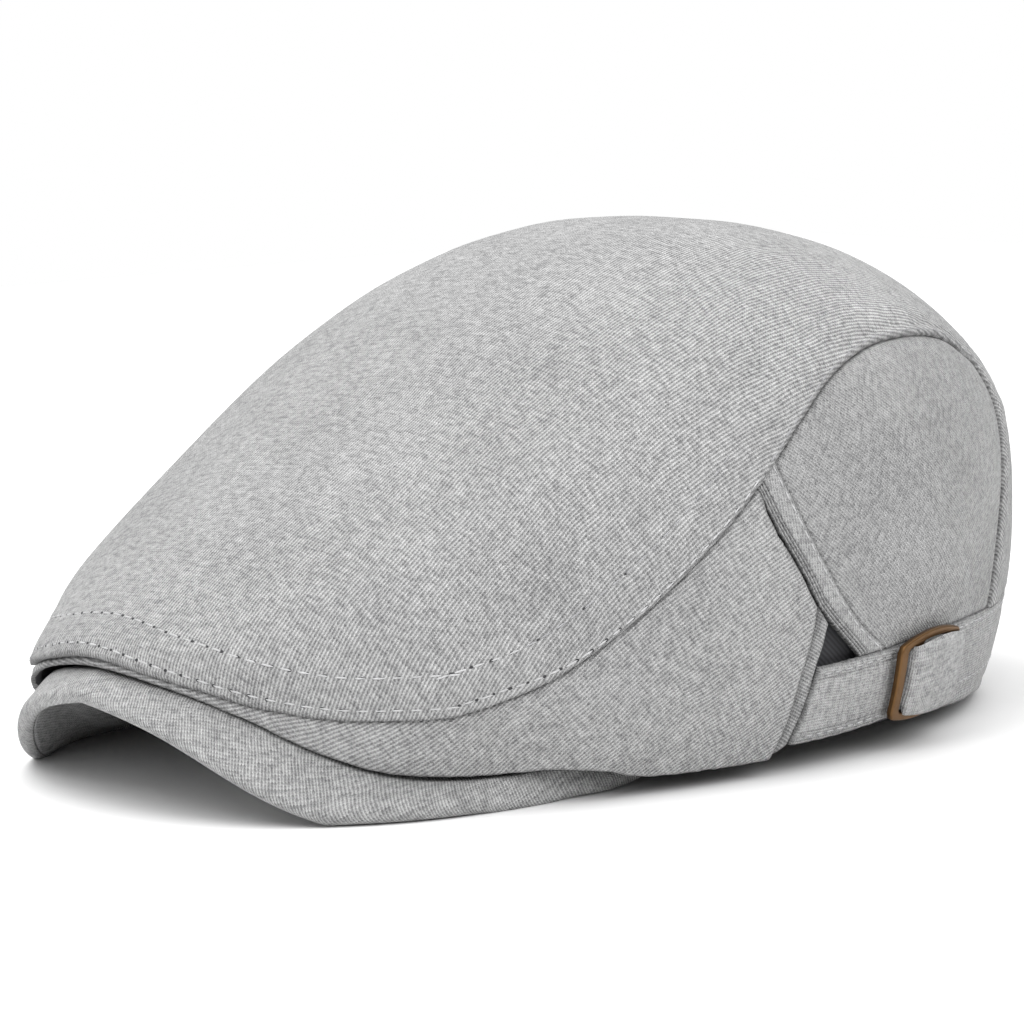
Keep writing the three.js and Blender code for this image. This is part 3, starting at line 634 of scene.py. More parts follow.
def resample(line: Array, step: float) -> Array:
    """Divide a line into even steps.

    Args:
        line: its points.
        step: about how long a step is.

    Returns:
        Points at even steps.
    """
    run = running_length(line)
    places = np.linspace(0, run[-1], max(2, round(run[-1] / step) + 1))
    return np.stack([np.interp(places, run, line[:, k]) for k in range(3)], -1)


def turned(layout: Array, angle: float) -> Array:
    """Turn a flat layout to the way of the knit.

    Args:
        layout: spots in millimetres.
        angle: degrees from the layout's first axis to the knit's columns.

    Returns:
        Spots across and along the columns.
    """
    turn = math.radians(angle)
    along = layout @ np.array([math.cos(turn), math.sin(turn)])
    across = layout @ np.array([math.sin(turn), -math.cos(turn)])
    return np.stack([across, along], -1)


def dress(piece: bpy.types.Object, nodes: Sequence[str]) -> None:
    """Fix a piece to the cap and hide the plain solids it stands for.

    Args:
        piece: the piece.
        nodes: names of the plain solids, none for stitches.
    """
    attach(piece, "root")
    if nodes:
        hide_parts(*nodes)
    log.info("%s: %d faces", piece.name, len(piece.data.polygons))


@dataclass
class WallPanel:
    """Cloth panel that lies on the crown's outer face.

    Its cells are fine within a margin of its borders and coarse between them. Lift raises it over the
    crown, and the knit runs at an angle that may bend round the wall. The right one of a pair can be
    fuller in front.
    """

    waves: ClassVar[tuple[tuple[float, float], ...]] = ((64, 0.35), (39, 0.22), (23, 0.1))
    thinnest: ClassVar[float] = 0.25
    fullness_end: ClassVar[float] = 0.55

    node: str
    foot: Edge
    top: Edge
    front: Edge
    rear: Edge
    borders: dict[Side, Border]
    slot: str = "jersey_side"
    fade: float = 1.0
    fine: float = 0.6
    coarse: float = 2.2
    margin: float = 14.0
    lift: float = 0.0
    thickness: float = CLOTH
    knit_angle: float = 45.0
    knit_bend: Spline | None = None
    mirrored: bool = True
    right_fullness: float = 0.0

    def place(self, spots: Array) -> Array:
        """Points of the crown at spots of azimuth and height."""
        return CROWN.on_wall(spots[:, 0], spots[:, 1])

    def grid(self) -> Array:
        """Points of the plain outer face."""
        share = np.linspace(0, 1, Path.steps)
        us, vs = (spread(max(running_length(self.place(edge(share)))[-1] for edge in pair),
                         self.fine, self.coarse, self.margin)
                  for pair in ((self.foot, self.top), (self.front, self.rear)))
        spots = blend_grid(self.foot, self.top, self.front, self.rear, us, vs, self.fade)
        return self.place(spots.reshape(-1, 2)).reshape(*spots.shape[:2], 3)

    def layout(self, grid: Array) -> Array:
        """Lay the cloth out flat by the length round the wall and the height.

        Args:
            grid: points of the plain outer face.

        Returns:
            Spots in millimetres, as rows by columns by 2.
        """
        turns = np.linspace(0, 360, 361)
        ring = CROWN.on_wall(np.minimum(turns, 360 - turns), np.full(361, 1.5 * BAND_HEIGHT))
        ring[:, 0] *= np.where(turns > 180, -1, 1)
        round_wall = running_length(ring[:, :2])
        steps = np.diff(round_wall)
        rise = round_wall * 0
        if self.knit_bend is not None:
            slopes = self.knit_bend(turns)
            rise = np.concatenate([[0], np.cumsum((slopes[1:] + slopes[:-1]) / 2 * steps)])
        azimuth = np.degrees(np.arctan2(grid[..., 0], CROWN.centre - grid[..., 1])) % 360
        along = np.interp(azimuth, turns, round_wall)
        return np.stack([along, grid[..., 2] - np.interp(azimuth, turns, rise)], -1)

    def faces_of(self, grid: Array) -> tuple[Array, Array, Array]:
        """Give a plain grid its relief and its thickness.

        Args:
            grid: points of the plain outer face.

        Returns:
            Outer and inner points of the cloth, and how much painted shade darkens each point.
        """
        flat = grid.reshape(-1, 3)
        normal = grid_normals(grid)
        middle = grid.shape[0] // 2, grid.shape[1] // 2
        if (normal[middle] * (grid[middle] - CROWN.core)).sum() < 0:
            normal = -normal
        normal = normal.reshape(-1, 3)
        lift, depth = np.full(len(flat), self.lift), np.full(len(flat), self.thickness)
        crease = np.zeros(len(flat))
        lines = {Side.FOOT: grid[0], Side.TOP: grid[-1], Side.FRONT: grid[:, 0], Side.REAR: grid[:, -1]}
        for side, border in self.borders.items():
            distance, run = nearest(flat, resample(lines[side], 0.5))
            lift = lift + border.relief(distance, run)
            # painted shade: each border darkens the cloth's colour along its seam and its rows
            crease = np.maximum(crease, border.crease(distance))
            if border.free:
                depth = depth + border.rolled(distance)
        lift = lift + self.wrinkle(flat)
        depth = np.maximum(depth, self.thinnest - lift)
        outer, inner = flat + normal * lift[:, None], flat - normal * depth[:, None]
        for points in (outer, inner):
            points[:, 2] = np.maximum(points[:, 2], 0)
        return outer, inner, crease

    def wrinkle(self, points: Array) -> Array:
        """Make the soft unevenness of worn cloth.

        Args:
            points: of the plain outer face.

        Returns:
            Heights in millimetres.
        """
        wave = np.zeros(len(points))
        random = np.random.default_rng(SEED)
        for length, height in self.waves:
            direction = unit(random.normal(size=(3, 3)))
            turns = random.uniform(0, 2 * math.pi, 3)
            wave += height * np.sin(points @ direction.T * 2 * math.pi / length + turns).mean(1)
        return wave

    def build(self, material: bpy.types.Material, painted_inside_shade: bpy.types.Material) -> list[bpy.types.Object]:
        """Build the panel's pieces.

        Args:
            material: the cloth.
            painted_inside_shade: dark cloth on its inner face, painted shade for the cap's inside.

        Returns:
            One piece, or the left and the right one.
        """
        grid = self.grid()
        outer, inner, crease = self.faces_of(grid)
        points = np.concatenate([outer, inner])
        layout = np.tile(turned(self.layout(grid).reshape(-1, 2), self.knit_angle), (2, 1))
        faces = shell_faces(*grid.shape[:2], False)
        # faces of the inner face take the second material, dark as painted shade for the cap's inside
        inside = (faces.min(1) >= len(outer)).astype(np.int32)
        sides = {"": points}
        if self.mirrored:
            right = points + self.fuller(points, grid.shape[:2])
            sides = {"_left": points, "_right": right * MIRROR}
        pieces = []
        for side, places in sides.items():
            name = self.node + side
            piece = make_piece(f"cloth_{name}", places, faces, layout, material, np.tile(crease, 2))
            piece.data.materials.append(painted_inside_shade)
            piece.data.polygons.foreach_set("material_index", inside)
            dress(piece, [name])
            pieces.append(piece)
        return pieces

    def fuller(self, points: Array, shape: tuple[int, int]) -> Array:
        """Push out the front of the right panel, less towards its top.

        Args:
            points: of both faces of the cloth.
            shape: rows and columns of each face.

        Returns:
            One step for each point, away from the crown's upright axis.
        """
        turn = np.degrees(np.arctan2(points[:, 0], CROWN.centre - points[:, 1]))
        lower = np.tile(np.repeat(np.linspace(1, self.fullness_end, shape[0]), shape[1]), 2)
        step = self.right_fullness * lower * smooth(turn, 0, 20) * (1 - smooth(turn, 22, 38))
        ways = np.stack([np.sin(np.radians(turn)), -np.cos(np.radians(turn)), turn * 0], -1)
        return ways * step[:, None]


@dataclass
class CrownTop(WallPanel):
    """Top panel, from the beak over the dome to the tail at the back."""

    meridians: ClassVar[tuple[int, int]] = (72, 44)

    nose: float = 4.8

    def place(self, spots: Array) -> Array:
        """Points of the crown at spots of the dome's flat layout."""
        return CROWN.from_chart(spots)

    def wrinkle(self, points: Array) -> Array:
        """Make the unevenness of the cloth and the fuller roll over the right side of the beak.

        Args:
            points: of the plain outer face.

        Returns:
            Heights in millimetres.
        """
        turn = -np.degrees(np.arctan2(points[:, 0], CROWN.centre - points[:, 1]))
        azimuths, heights = zip(*SEAM_BEAK)
        above = points[:, 2] - np.interp(np.abs(turn), azimuths, heights)
        side = smooth(turn, -10, 20) * (1 - smooth(turn, 55, 80))
        return super().wrinkle(points) + self.nose * side * (1 - smooth(above, -2, 10))

    def layout(self, grid: Array) -> Array:
        """Lay the cloth out flat by true lengths from the top of the dome.

        Args:
            grid: points of the plain outer face.

        Returns:
            Spots in millimetres, as rows by columns by 2.
        """
        around, down = self.meridians
        spots = CROWN.to_chart(grid.reshape(-1, 3))
        azimuths = np.linspace(-math.pi, math.pi, around + 1)
        tilts = np.radians(np.linspace(0.01, 110, down + 1))
        a, t = np.meshgrid(azimuths, tilts, indexing="ij")
        lines = CROWN.from_chart(np.stack([t * np.sin(a), t * np.cos(a)], -1).reshape(-1, 2))
        runs = running_length(lines.reshape(around + 1, down + 1, 3))
        azimuth, tilt = np.arctan2(spots[:, 0], spots[:, 1]), np.linalg.norm(spots, axis=1)
        i = (azimuth + math.pi) / (2 * math.pi) * around
        k = np.clip(i.astype(int), 0, around - 1)
        part = i - k
        j = np.clip((tilt - tilts[0]) / (tilts[-1] - tilts[0]) * down, 0, down - 0.001)
        m = j.astype(int)
        near = runs[k, m] * (1 - part) + runs[k + 1, m] * part
        far = runs[k, m + 1] * (1 - part) + runs[k + 1, m + 1] * part
        run = near + (far - near) * (j - m)
        flat = np.stack([run * np.sin(azimuth), run * np.cos(azimuth)], -1)
        return flat.reshape(*grid.shape[:2], 2)


def chart_edge(path: Path, sign: float) -> Edge:
    """Edge of the dome's chart along a path of azimuths and heights.

    Args:
        path: on the left side of the cap.
        sign: 1 for the left side, -1 for the right.

    Returns:
        The edge.
    """

    def edge(share: Array) -> Array:
        """Spots of the chart at shares of the path."""
        spots = path(share)
        return CROWN.to_chart(CROWN.on_wall(spots[:, 0], spots[:, 1])) * [sign, 1]

    return edge


def mirrored_path(path: Path) -> Edge:
    """Edge of the dome's chart that runs up a path on the right side and down it on the left.

    Args:
        path: from the middle of the cap.

    Returns:
        The edge.
    """

    def edge(share: Array) -> Array:
        """Spots of the chart at shares of both sides together."""
        signed = 2 * np.asarray(share) - 1
        placed = chart_edge(path, 1)(np.abs(signed))
        return placed * np.stack([np.where(signed < 0, -1, 1), np.ones(len(signed))], -1)

    return edge


def straight(start: tuple[float, float], end: tuple[float, float]) -> Edge:
    """Straight edge between two spots."""
    return lambda share: np.outer(1 - np.asarray(share), start) + np.outer(share, end)


def backwards(edge: Edge) -> Edge:
    """The same edge from its end."""
    return lambda share: edge(1 - np.asarray(share))


def band_edge(start: float, end: float, drop: float = 0.0) -> Edge:
    """Edge along the band line or below it.

    Args:
        start: azimuth of its first end.
        end: azimuth of its other end, beyond 180 on the right side.
        drop: how far below the band line.

    Returns:
        The edge.
    """

    def edge(share: Array) -> Array:
        """Spots at shares of the edge."""
        azimuth = start + (end - start) * np.asarray(share)
        return np.stack([azimuth, band_line(np.minimum(azimuth, 360 - azimuth)) - drop], -1)

    return edge


SLIT_GAP = 0.65
SIDE_PATH = Path((SEAM_SIDE, 10), (SLIT_TOP, 2), (SEAM_REAR, 10), (SEAM_TAIL, 8))
BEAK_PATH = Path((SEAM_BEAK, 9))
PANEL_TOP = Path((SEAM_BEAK, 9), (SEAM_SIDE, 10))
PANEL_BACK = Path(
    (SLIT_EDGE[:1] + [(azimuth - SLIT_GAP, height) for azimuth, height in SLIT_EDGE[1:]], 4),
    ([(PANEL_REAR[0][0] - SLIT_GAP, PANEL_REAR[0][1])] + PANEL_REAR[1:], 4))
BINDING_FRONT = Path((SLIT_EDGE, 4), (OPENING_EDGE, 4))
BINDING_BACK = Path((BINDING_REAR, 1))
TAIL_FOOT = Path(([on_band(a) for a in np.linspace(BACK, TAIL_END, 10)], 1))
BAND_FOOT = Spline([120, 130, 140, 150, 165, 180], [1.6, 1.2, .9, .4, -.3, -.5])
STRIP_SPLINE = Spline([row[1] for row in STRIP_REAR[::-1]], [row[0] for row in STRIP_REAR[::-1]])


def strap_edge(drop: float) -> Edge:
    """Edge of the strap at a drop below the band line."""
    return band_edge(float(STRIP_SPLINE(band_line(89.9) - drop)), STRAP_END, drop)


def rear_foot(share: Array) -> Array:
    """Lower edge of the rear band."""
    azimuth = STRAP_END + (360 - 2 * STRAP_END) * np.asarray(share)
    return np.stack([azimuth, np.maximum(HEM_LIFT * BAND_FOOT(np.minimum(azimuth, 360 - azimuth)), 0)], -1)


def between(a: Edge, b: Edge, at: float) -> Edge:
    """Straight edge between the spots of two edges at one share."""
    return straight(tuple(a(np.array([at]))[0]), tuple(b(np.array([at]))[0]))


KNIT_BEND = Spline([0, 20, 30, 45, 60, 72, 90], [-.65, -.54, -.3, .08, -.05, -.2, -.25])


def panels() -> list[WallPanel]:
    """List the cap's wall and top panels, from the top down.

    Returns:
        The panels, ready to be built.
    """
    # Painted shade: shade, shade_width and row_shade darken the cloth's colour in a line along each seam
    # and hem, deepest in the slit's gap and at its rows, and in a wide band on the edge strip beside the
    # side panel's raised edge.
    seam = Border(depth=1.1, roll=1.5)
    soft_seam = Border(depth=0.35, roll=1.0, shade=0.15)
    top_edge = Border(depth=1.3, roll=1.6, pad=0.9, pad_width=11, rows=(2.6, 10), pucker=0.25)
    hem = Border(depth=0.9, roll=1.2, free=True)
    panel_rear = Border(depth=0.9, roll=1.2, pad=0.5, pad_width=1.5, shade=0.6)
    slit = Border(depth=1.6, roll=0.5, rows=(0.85, 1.65, 2.45), row_width=0.18, groove=0.5, shade=1.0,
                  shade_width=0.3, row_shade=0.6)
    strip_front = Border(depth=0.4, roll=1.0, shade=0.6, shade_width=2.4)
    strap_foot = replace(hem, rows=(1.0, 2.0, 3.0), row_width=0.25, row_shade=0.3)
    strap_top = replace(strap_foot, rows=(1.9, 2.9))
    band_foot = replace(hem, rows=(3.5,), groove=0.25)
    band_top = Border(depth=1.1, roll=1.5, rows=(2.2, 4.4), groove=0.25)
    strap = strap_edge(STRAP_WIDTH), strap_edge(0)
    band = rear_foot, band_edge(STRAP_END, 360 - STRAP_END)
    return [
        CrownTop("crown_top", mirrored_path(BEAK_PATH), mirrored_path(TAIL_FOOT),
                 chart_edge(SIDE_PATH, -1), chart_edge(SIDE_PATH, 1),
                 {Side.FOOT: top_edge, Side.FRONT: top_edge, Side.REAR: top_edge, Side.TOP: seam},
                 slot="jersey_top", knit_angle=93, mirrored=False, coarse=2.4),
        WallPanel("side_panel", Path((HEM_LINE, 1)), PANEL_TOP, straight(HEM_LINE[0], SEAM_BEAK[0]),
                  backwards(PANEL_BACK), {Side.FOOT: hem, Side.TOP: seam, Side.REAR: panel_rear},
                  fade=3, knit_angle=37, knit_bend=KNIT_BEND, right_fullness=6.0),
        WallPanel("slit_binding", Path(([OPENING_EDGE[-1], BINDING_REAR[-1]], 1)), Path((SLIT_TOP, 1)),
                  backwards(BINDING_FRONT), backwards(BINDING_BACK),
                  {Side.FRONT: slit, Side.REAR: soft_seam, Side.FOOT: seam},
                  knit_angle=90, fine=0.13, coarse=1.0, margin=3, lift=-0.3),
        WallPanel("back_panel", band_edge(BINDING_REAR[-1][0], TAIL_END), Path((SEAM_REAR, 1)),
                  backwards(BINDING_BACK), backwards(Path((SEAM_TAIL, 1))),
                  {Side.FOOT: seam, Side.TOP: seam, Side.FRONT: soft_seam, Side.REAR: seam},
                  knit_angle=139),
        WallPanel("edge_strip", straight(PANEL_REAR[-1], STRIP_REAR[-1]),
                  straight(PANEL_REAR[0], STRIP_REAR[0]),
                  backwards(Path((PANEL_REAR, 1))), backwards(Path((STRIP_REAR, 1))),
                  {Side.FOOT: hem, Side.REAR: hem, Side.FRONT: strip_front},
                  knit_angle=150, coarse=1.4, lift=-1.0),
        WallPanel("strap", *strap, between(*strap, 0), between(*strap, 1),
                  {Side.FOOT: strap_foot, Side.TOP: strap_top, Side.FRONT: hem},
                  slot="jersey_strap", knit_angle=0, fine=0.25, coarse=1.4, margin=5),
        WallPanel("rear_band", *band, between(*band, 0), between(*band, 1),
                  {Side.FOOT: band_foot, Side.TOP: band_top},
                  slot="jersey_strap", knit_angle=0, mirrored=False, margin=6),
    ]


def crown_reach(azimuth: Array, height: Array) -> Array:
    """Distance of the crown's outer face from its upright axis."""
    points = CROWN.on_wall(azimuth, height)
    return np.hypot(points[:, 0], points[:, 1] - CROWN.centre)


@dataclass
class Opening:
    """Oval of the head and the sweatband that lines it.

    Play is the space between the sweatband and the wall's cloth, and blend rounds the change from the
    head's oval to the wall.
    """

    around: ClassVar[int] = 240
    rows: ClassVar[int] = 15
    edge_roll: ClassVar[float] = 0.5

    length: float = 216.0
    width: float = 190.0
    rear: float = 138.0
    blend: float = 3.0
    cloth: float = 1.2
    play: float = 0.8
    front_height: float = 24.0
    back_height: float = 38.0

    def head_reach(self, azimuth: Array) -> Array:
        """Measure the head's oval.

        Args:
            azimuth: degrees from the centre front.

        Returns:
            Distances from the crown's upright axis.
        """
        turn = np.radians(azimuth)
        middle = self.rear - self.length / 2
        sine, cosine = np.sin(turn), -np.cos(turn)
        a = (sine / (self.width / 2)) ** 2 + (cosine / (self.length / 2)) ** 2
        b = -2 * cosine * middle / (self.length / 2) ** 2
        c = (middle / (self.length / 2)) ** 2 - 1
        return (-b + np.sqrt(b ** 2 - 4 * a * c)) / (2 * a)

    def reach(self, azimuth: Array, height: Array) -> Array:
        """Measure the outer face of the sweatband.

        Args:
            azimuth: degrees from the centre front.
            height: over the floor.

        Returns:
            Distances from the crown's upright axis.
        """
        wall = crown_reach(azimuth, height) - CLOTH - self.play
        head = self.head_reach(azimuth)
        return (wall + head - np.hypot(wall - head, self.blend)) / 2

    def build(self, brim: "Brim", material: bpy.types.Material) -> bpy.types.Object:
        """Build the sweatband.

        Args:
            brim: the brim whose root it stands on.
            material: its dark cloth, dark partly as painted shade inside the opening.

        Returns:
            The piece.
        """
        azimuth = np.linspace(0, 360, self.around, endpoint=False)
        side = np.minimum(azimuth, 360 - azimuth)
        foot = np.maximum(SWEATBAND_LIFT, brim.root_height(side) - brim.stack)
        tall = self.front_height + (self.back_height - self.front_height) * smooth(side, 40, 85)
        turn = np.radians(azimuth)
        outer, inner = [], []
        for share in np.linspace(0, 1, self.rows):
            height = foot + tall * share
            reach = self.reach(side, height)
            edge = min(share, 1 - share) * (self.rows - 1)
            roll = self.edge_roll * (1 - min(edge, 1)) ** 2
            for rows, inset in ((outer, roll), (inner, self.cloth - roll)):
                r = reach - inset
                rows.append(np.stack([r * np.sin(turn), CROWN.centre - r * np.cos(turn), height], -1))
        grid = np.array(outer)
        run = running_length(grid[self.rows // 2])
        layout = np.stack([np.broadcast_to(run, grid.shape[:2]), grid[:, :, 2]], -1).reshape(-1, 2)
        points = np.concatenate([grid.reshape(-1, 3), np.array(inner).reshape(-1, 3)])
        faces = shell_faces(*grid.shape[:2], True)
        piece = make_piece("cloth_sweatband", points, faces, np.tile(layout, (2, 1)), material)
        dress(piece, ["sweatband"])
        return piece


@dataclass
class Brim:
    """Padded brim: a cover that wraps the rim, and a cover under the board.

    The splines give the height of its edge and root as shares of the arch, and the hem's height. Its
    tips thin out in a tail under the hem. Swell rounds the rim out over the board, more on the right.
    """

    around: ClassVar[int] = 241
    rim_steps: ClassVar[int] = 15
    section_steps: ClassVar[int] = 9
    under_slack: ClassVar[float] = 0.15
    tail_squeeze: ClassVar[float] = 0.8

    opening: Opening
    reach: float = 5.3
    width: float = 151.2
    depth: float = 84.7
    arch: float = 28.5
    cover: float = 1.2
    board: float = 1.6
    play: float = 0.35
    tip_angle: float = 97.0
    tail_angle: float = 7.0
    tail_height: float = 3.7
    tail_thin: float = 0.45
    squareness: float = 2.17
    drop: float = 1.0
    ledge: float = 5.0
    swell: float = 1.0
    right_swell: float = 1.8
    knit_angle: float = 67.0
    edge: Spline = Spline([0, 18, 36, 54, 72, 88, 105], [1, .78, .34, .055, .012, 0, .01])
    root: Spline = Spline([0, 15, 30, 45, 55, 70, 90], [1.5, 1.4, 1.05, .56, .28, .18, .14])
    hem: Spline = Spline(*zip(*HEM_LINE))

    @property
    def stack(self) -> float:
        """Thickness of the whole brim."""
        return 2 * self.cover + self.board + 2 * self.play

    def root_height(self, side: Array) -> Array:
        """Height of the brim's root at the head opening."""
        return self.arch * self.root(side)

    def profiles(self, angle: Array) -> tuple[Array, Array]:
        """Upright sections of the upper face, from the edge to the root.

        Args:
            angle: degrees round the brim's own outline.

        Returns:
            Azimuths in degrees, and sections as angles by corners by reach and height.
        """
        tail_x, tail_y = self.outline(angle)
        azimuth, tail_rim = np.degrees(np.arctan2(tail_x, -tail_y)), np.hypot(tail_x, tail_y)
        x, y = self.outline(np.clip(angle, -self.tip_angle, self.tip_angle))
        side = np.abs(np.degrees(np.arctan2(x, -y)))
        hem = self.hem(side)
        wall, rim = crown_reach(side, hem), np.hypot(x, y)
        root_height = self.root_height(side)
        root = np.stack([self.opening.reach(side, root_height) + 2 * self.play, root_height], -1)
        crease_reach = np.minimum(wall, rim - self.ledge / 2)
        ledge_reach = np.minimum(wall - self.ledge, crease_reach - self.ledge / 2)
        crease = np.stack([crease_reach, hem - self.drop], -1)
        ledge = np.stack([ledge_reach, hem - self.drop / 2], -1)
        edge = np.stack([rim, self.arch * self.edge(np.abs(angle))], -1)
        sections = np.stack([edge, crease, ledge, (ledge + root) / 2, root], 1)
        for _ in range(3):
            foot = sections[:, 0, 1] + self.stack * self.normals(sections)[:, 0, 1]
            sections[:, 0, 1] -= np.minimum(foot, 0)
        share = self.tail(angle)[:, None]
        offset = (sections[:, :, 0] - rim[:, None]) * (1 - self.tail_squeeze * share)
        sections[:, :, 0] = np.where(share > 0, tail_rim[:, None] + offset, sections[:, :, 0])
        sections[:, :, 1] += (self.tail_height - sections[:, :, 1]) * share
        return azimuth, sections

    def outline(self, angle: Array) -> tuple[Array, Array]:
        """Find the rim from above.

        Args:
            angle: degrees round the brim's own outline.

        Returns:
            Places across the cap and from front to back.
        """
        turn = np.radians(angle)
        across, back = (powered(way, 2 / self.squareness) for way in (np.sin(turn), np.cos(turn)))
        return self.width / 2 * across, -CROWN.length / 2 - self.reach + self.depth * (1 - back)

    def tail(self, angle: Array) -> Array:
        """How far the brim has thinned out where its tips run in under the hem, from 0 to 1."""
        return np.clip((np.abs(angle) - self.tip_angle) / self.tail_angle, 0, 1)

    def normals(self, sections: Array) -> Array:
        """Find the ways down and in from the corners of the sections.

        Args:
            sections: as angles by corners by reach and height.

        Returns:
            Unit vectors of the same shape.
        """
        step = unit(np.diff(sections, axis=1))
        middle = unit(np.concatenate([step[:, :1], step[:, :-1] + step[:, 1:]], 1))
        breadth = sections[:, 0, 0] - sections[:, -1, 0]
        level = (1 - smooth(breadth, self.ledge, 4 * self.ledge))[:, None, None]
        down = np.array([0.0, -1.0])
        leaning = unit(np.stack([-middle[:, :, 1], middle[:, :, 0]], -1) * (1 - level) + down * level)
        return np.concatenate([leaning, np.broadcast_to(down, (len(sections), 1, 2))], 1)

    def surfaces(self, depth: float, setback: Array, angle: Array) -> Array:
        """Lay a face of the brim under its upper face.

        Args:
            depth: under the upper face.
            setback: from the rim, for each angle.
            angle: degrees round the brim's own outline.

        Returns:
            Sections as angles by points by reach and height.
        """
        _, sections = self.profiles(angle)
        along = unit(sections[:, 1] - sections[:, 0])
        thin = 1 - self.tail_thin * self.tail(angle)
        moved = sections + self.normals(sections) * (depth * thin)[:, None, None]
        moved[:, 0] += along * setback * thin[:, None]
        return curved(moved, 2 * moved[:, :1] - moved[:, 1:2], self.section_steps)

    def placed(self, azimuth: Array, rows: Array) -> Array:
        """Points of upright sections, as angles by corners by 3."""
        turn = np.radians(azimuth)[:, None]
        return np.stack([rows[..., 0] * np.sin(turn), CROWN.centre - rows[..., 0] * np.cos(turn),
                         np.maximum(rows[..., 1], 0)], -1)

    def build(self, material: bpy.types.Material) -> list[bpy.types.Object]:
        """Build the two covers.

        Args:
            material: their cloth.

        Returns:
            The upper and the lower cover.
        """
        end = self.tip_angle + self.tail_angle
        angle = np.linspace(-end, end, self.around)
        azimuth, sections = self.profiles(angle)
        down = self.normals(sections)[:, 0]
        along = unit(sections[:, 1] - sections[:, 0])
        radius = self.stack / 2
        thin = (1 - self.tail_thin * self.tail(angle))[:, None]
        right = smooth(-angle, -10, 30) * (1 - smooth(-angle, self.tip_angle - 35, self.tip_angle - 8))
        setback = radius - self.swell - self.right_swell * right[:, None]
        centre = sections[:, 0] + (down * radius + along * setback) * thin

        def wrap(inset: float) -> Array:
            """Draw sections from the root over the top and round the rim.

            Args:
                inset: depth under the cover's outer face.

            Returns:
                Sections as angles by points by reach and height.
            """
            top = self.surfaces(inset, setback, angle)[:, ::-1]
            turns = np.linspace(0, math.pi, self.rim_steps)[1:, None]
            round_rim = down[:, None] * np.cos(turns) + along[:, None] * np.sin(turns)
            return np.concatenate([top, centre[:, None] - (radius - inset) * thin[:, None] * round_rim], 1)

        top = [wrap(inset) for inset in (0, self.cover)]
        under = [self.surfaces(depth, setback + self.under_slack, angle)
                 for depth in (self.stack, self.stack - self.cover)]
        return [self.cover_piece(node, *(self.placed(azimuth, face) for face in faces), start, material)
                for node, faces, start in (("brim_top_cover", top, -self.rim_steps // 2),
                                           ("brim_under_cover", under, 0))]

    def cover_piece(self, node: str, outer: Array, inner: Array, start: int,
                    material: bpy.types.Material) -> bpy.types.Object:
        """Make one cover from its outer and inner faces.

        Args:
            node: name of the plain solid.
            outer: points of the outer face, as angles by points by 3.
            inner: points of the inner face.
            start: number of the point of each section that lies on the rim.
            material: the cloth.

        Returns:
            The piece.
        """
        run, across = running_length(outer[:, start]), running_length(outer)
        across = across - across[:, [start]]
        layout = np.stack([np.broadcast_to(run[:, None], across.shape), across], -1).reshape(-1, 2)
        points = np.concatenate([outer.reshape(-1, 3), inner.reshape(-1, 3)])
        piece = make_piece(f"cloth_{node}", points, shell_faces(*outer.shape[:2], False),
                           np.tile(turned(layout, self.knit_angle), (2, 1)), material)
        dress(piece, [node])
        return piece


STRAP_SPOTS = CROWN.on_wall(np.array([BUCKLE_START, STRAP_END]), np.full(2, BAND_HEIGHT - STRAP_WIDTH / 2))
DEGREES_PER_LENGTH = (STRAP_END - BUCKLE_START) / float(np.linalg.norm(STRAP_SPOTS[1] - STRAP_SPOTS[0]))


def on_strap(points: Array) -> Array:
    """Bend a flat drawing onto the strap.

    Args:
        points: along the strap from the buckle's front, up from its middle line and out from it.

    Returns:
        Points on the wall.
    """
    azimuth = BUCKLE_START + points[:, 0] * DEGREES_PER_LENGTH
    base = CROWN.on_wall(azimuth, band_line(azimuth) - STRAP_WIDTH / 2 + points[:, 1])
    return base + CROWN.normals(base) * points[:, 2:3]


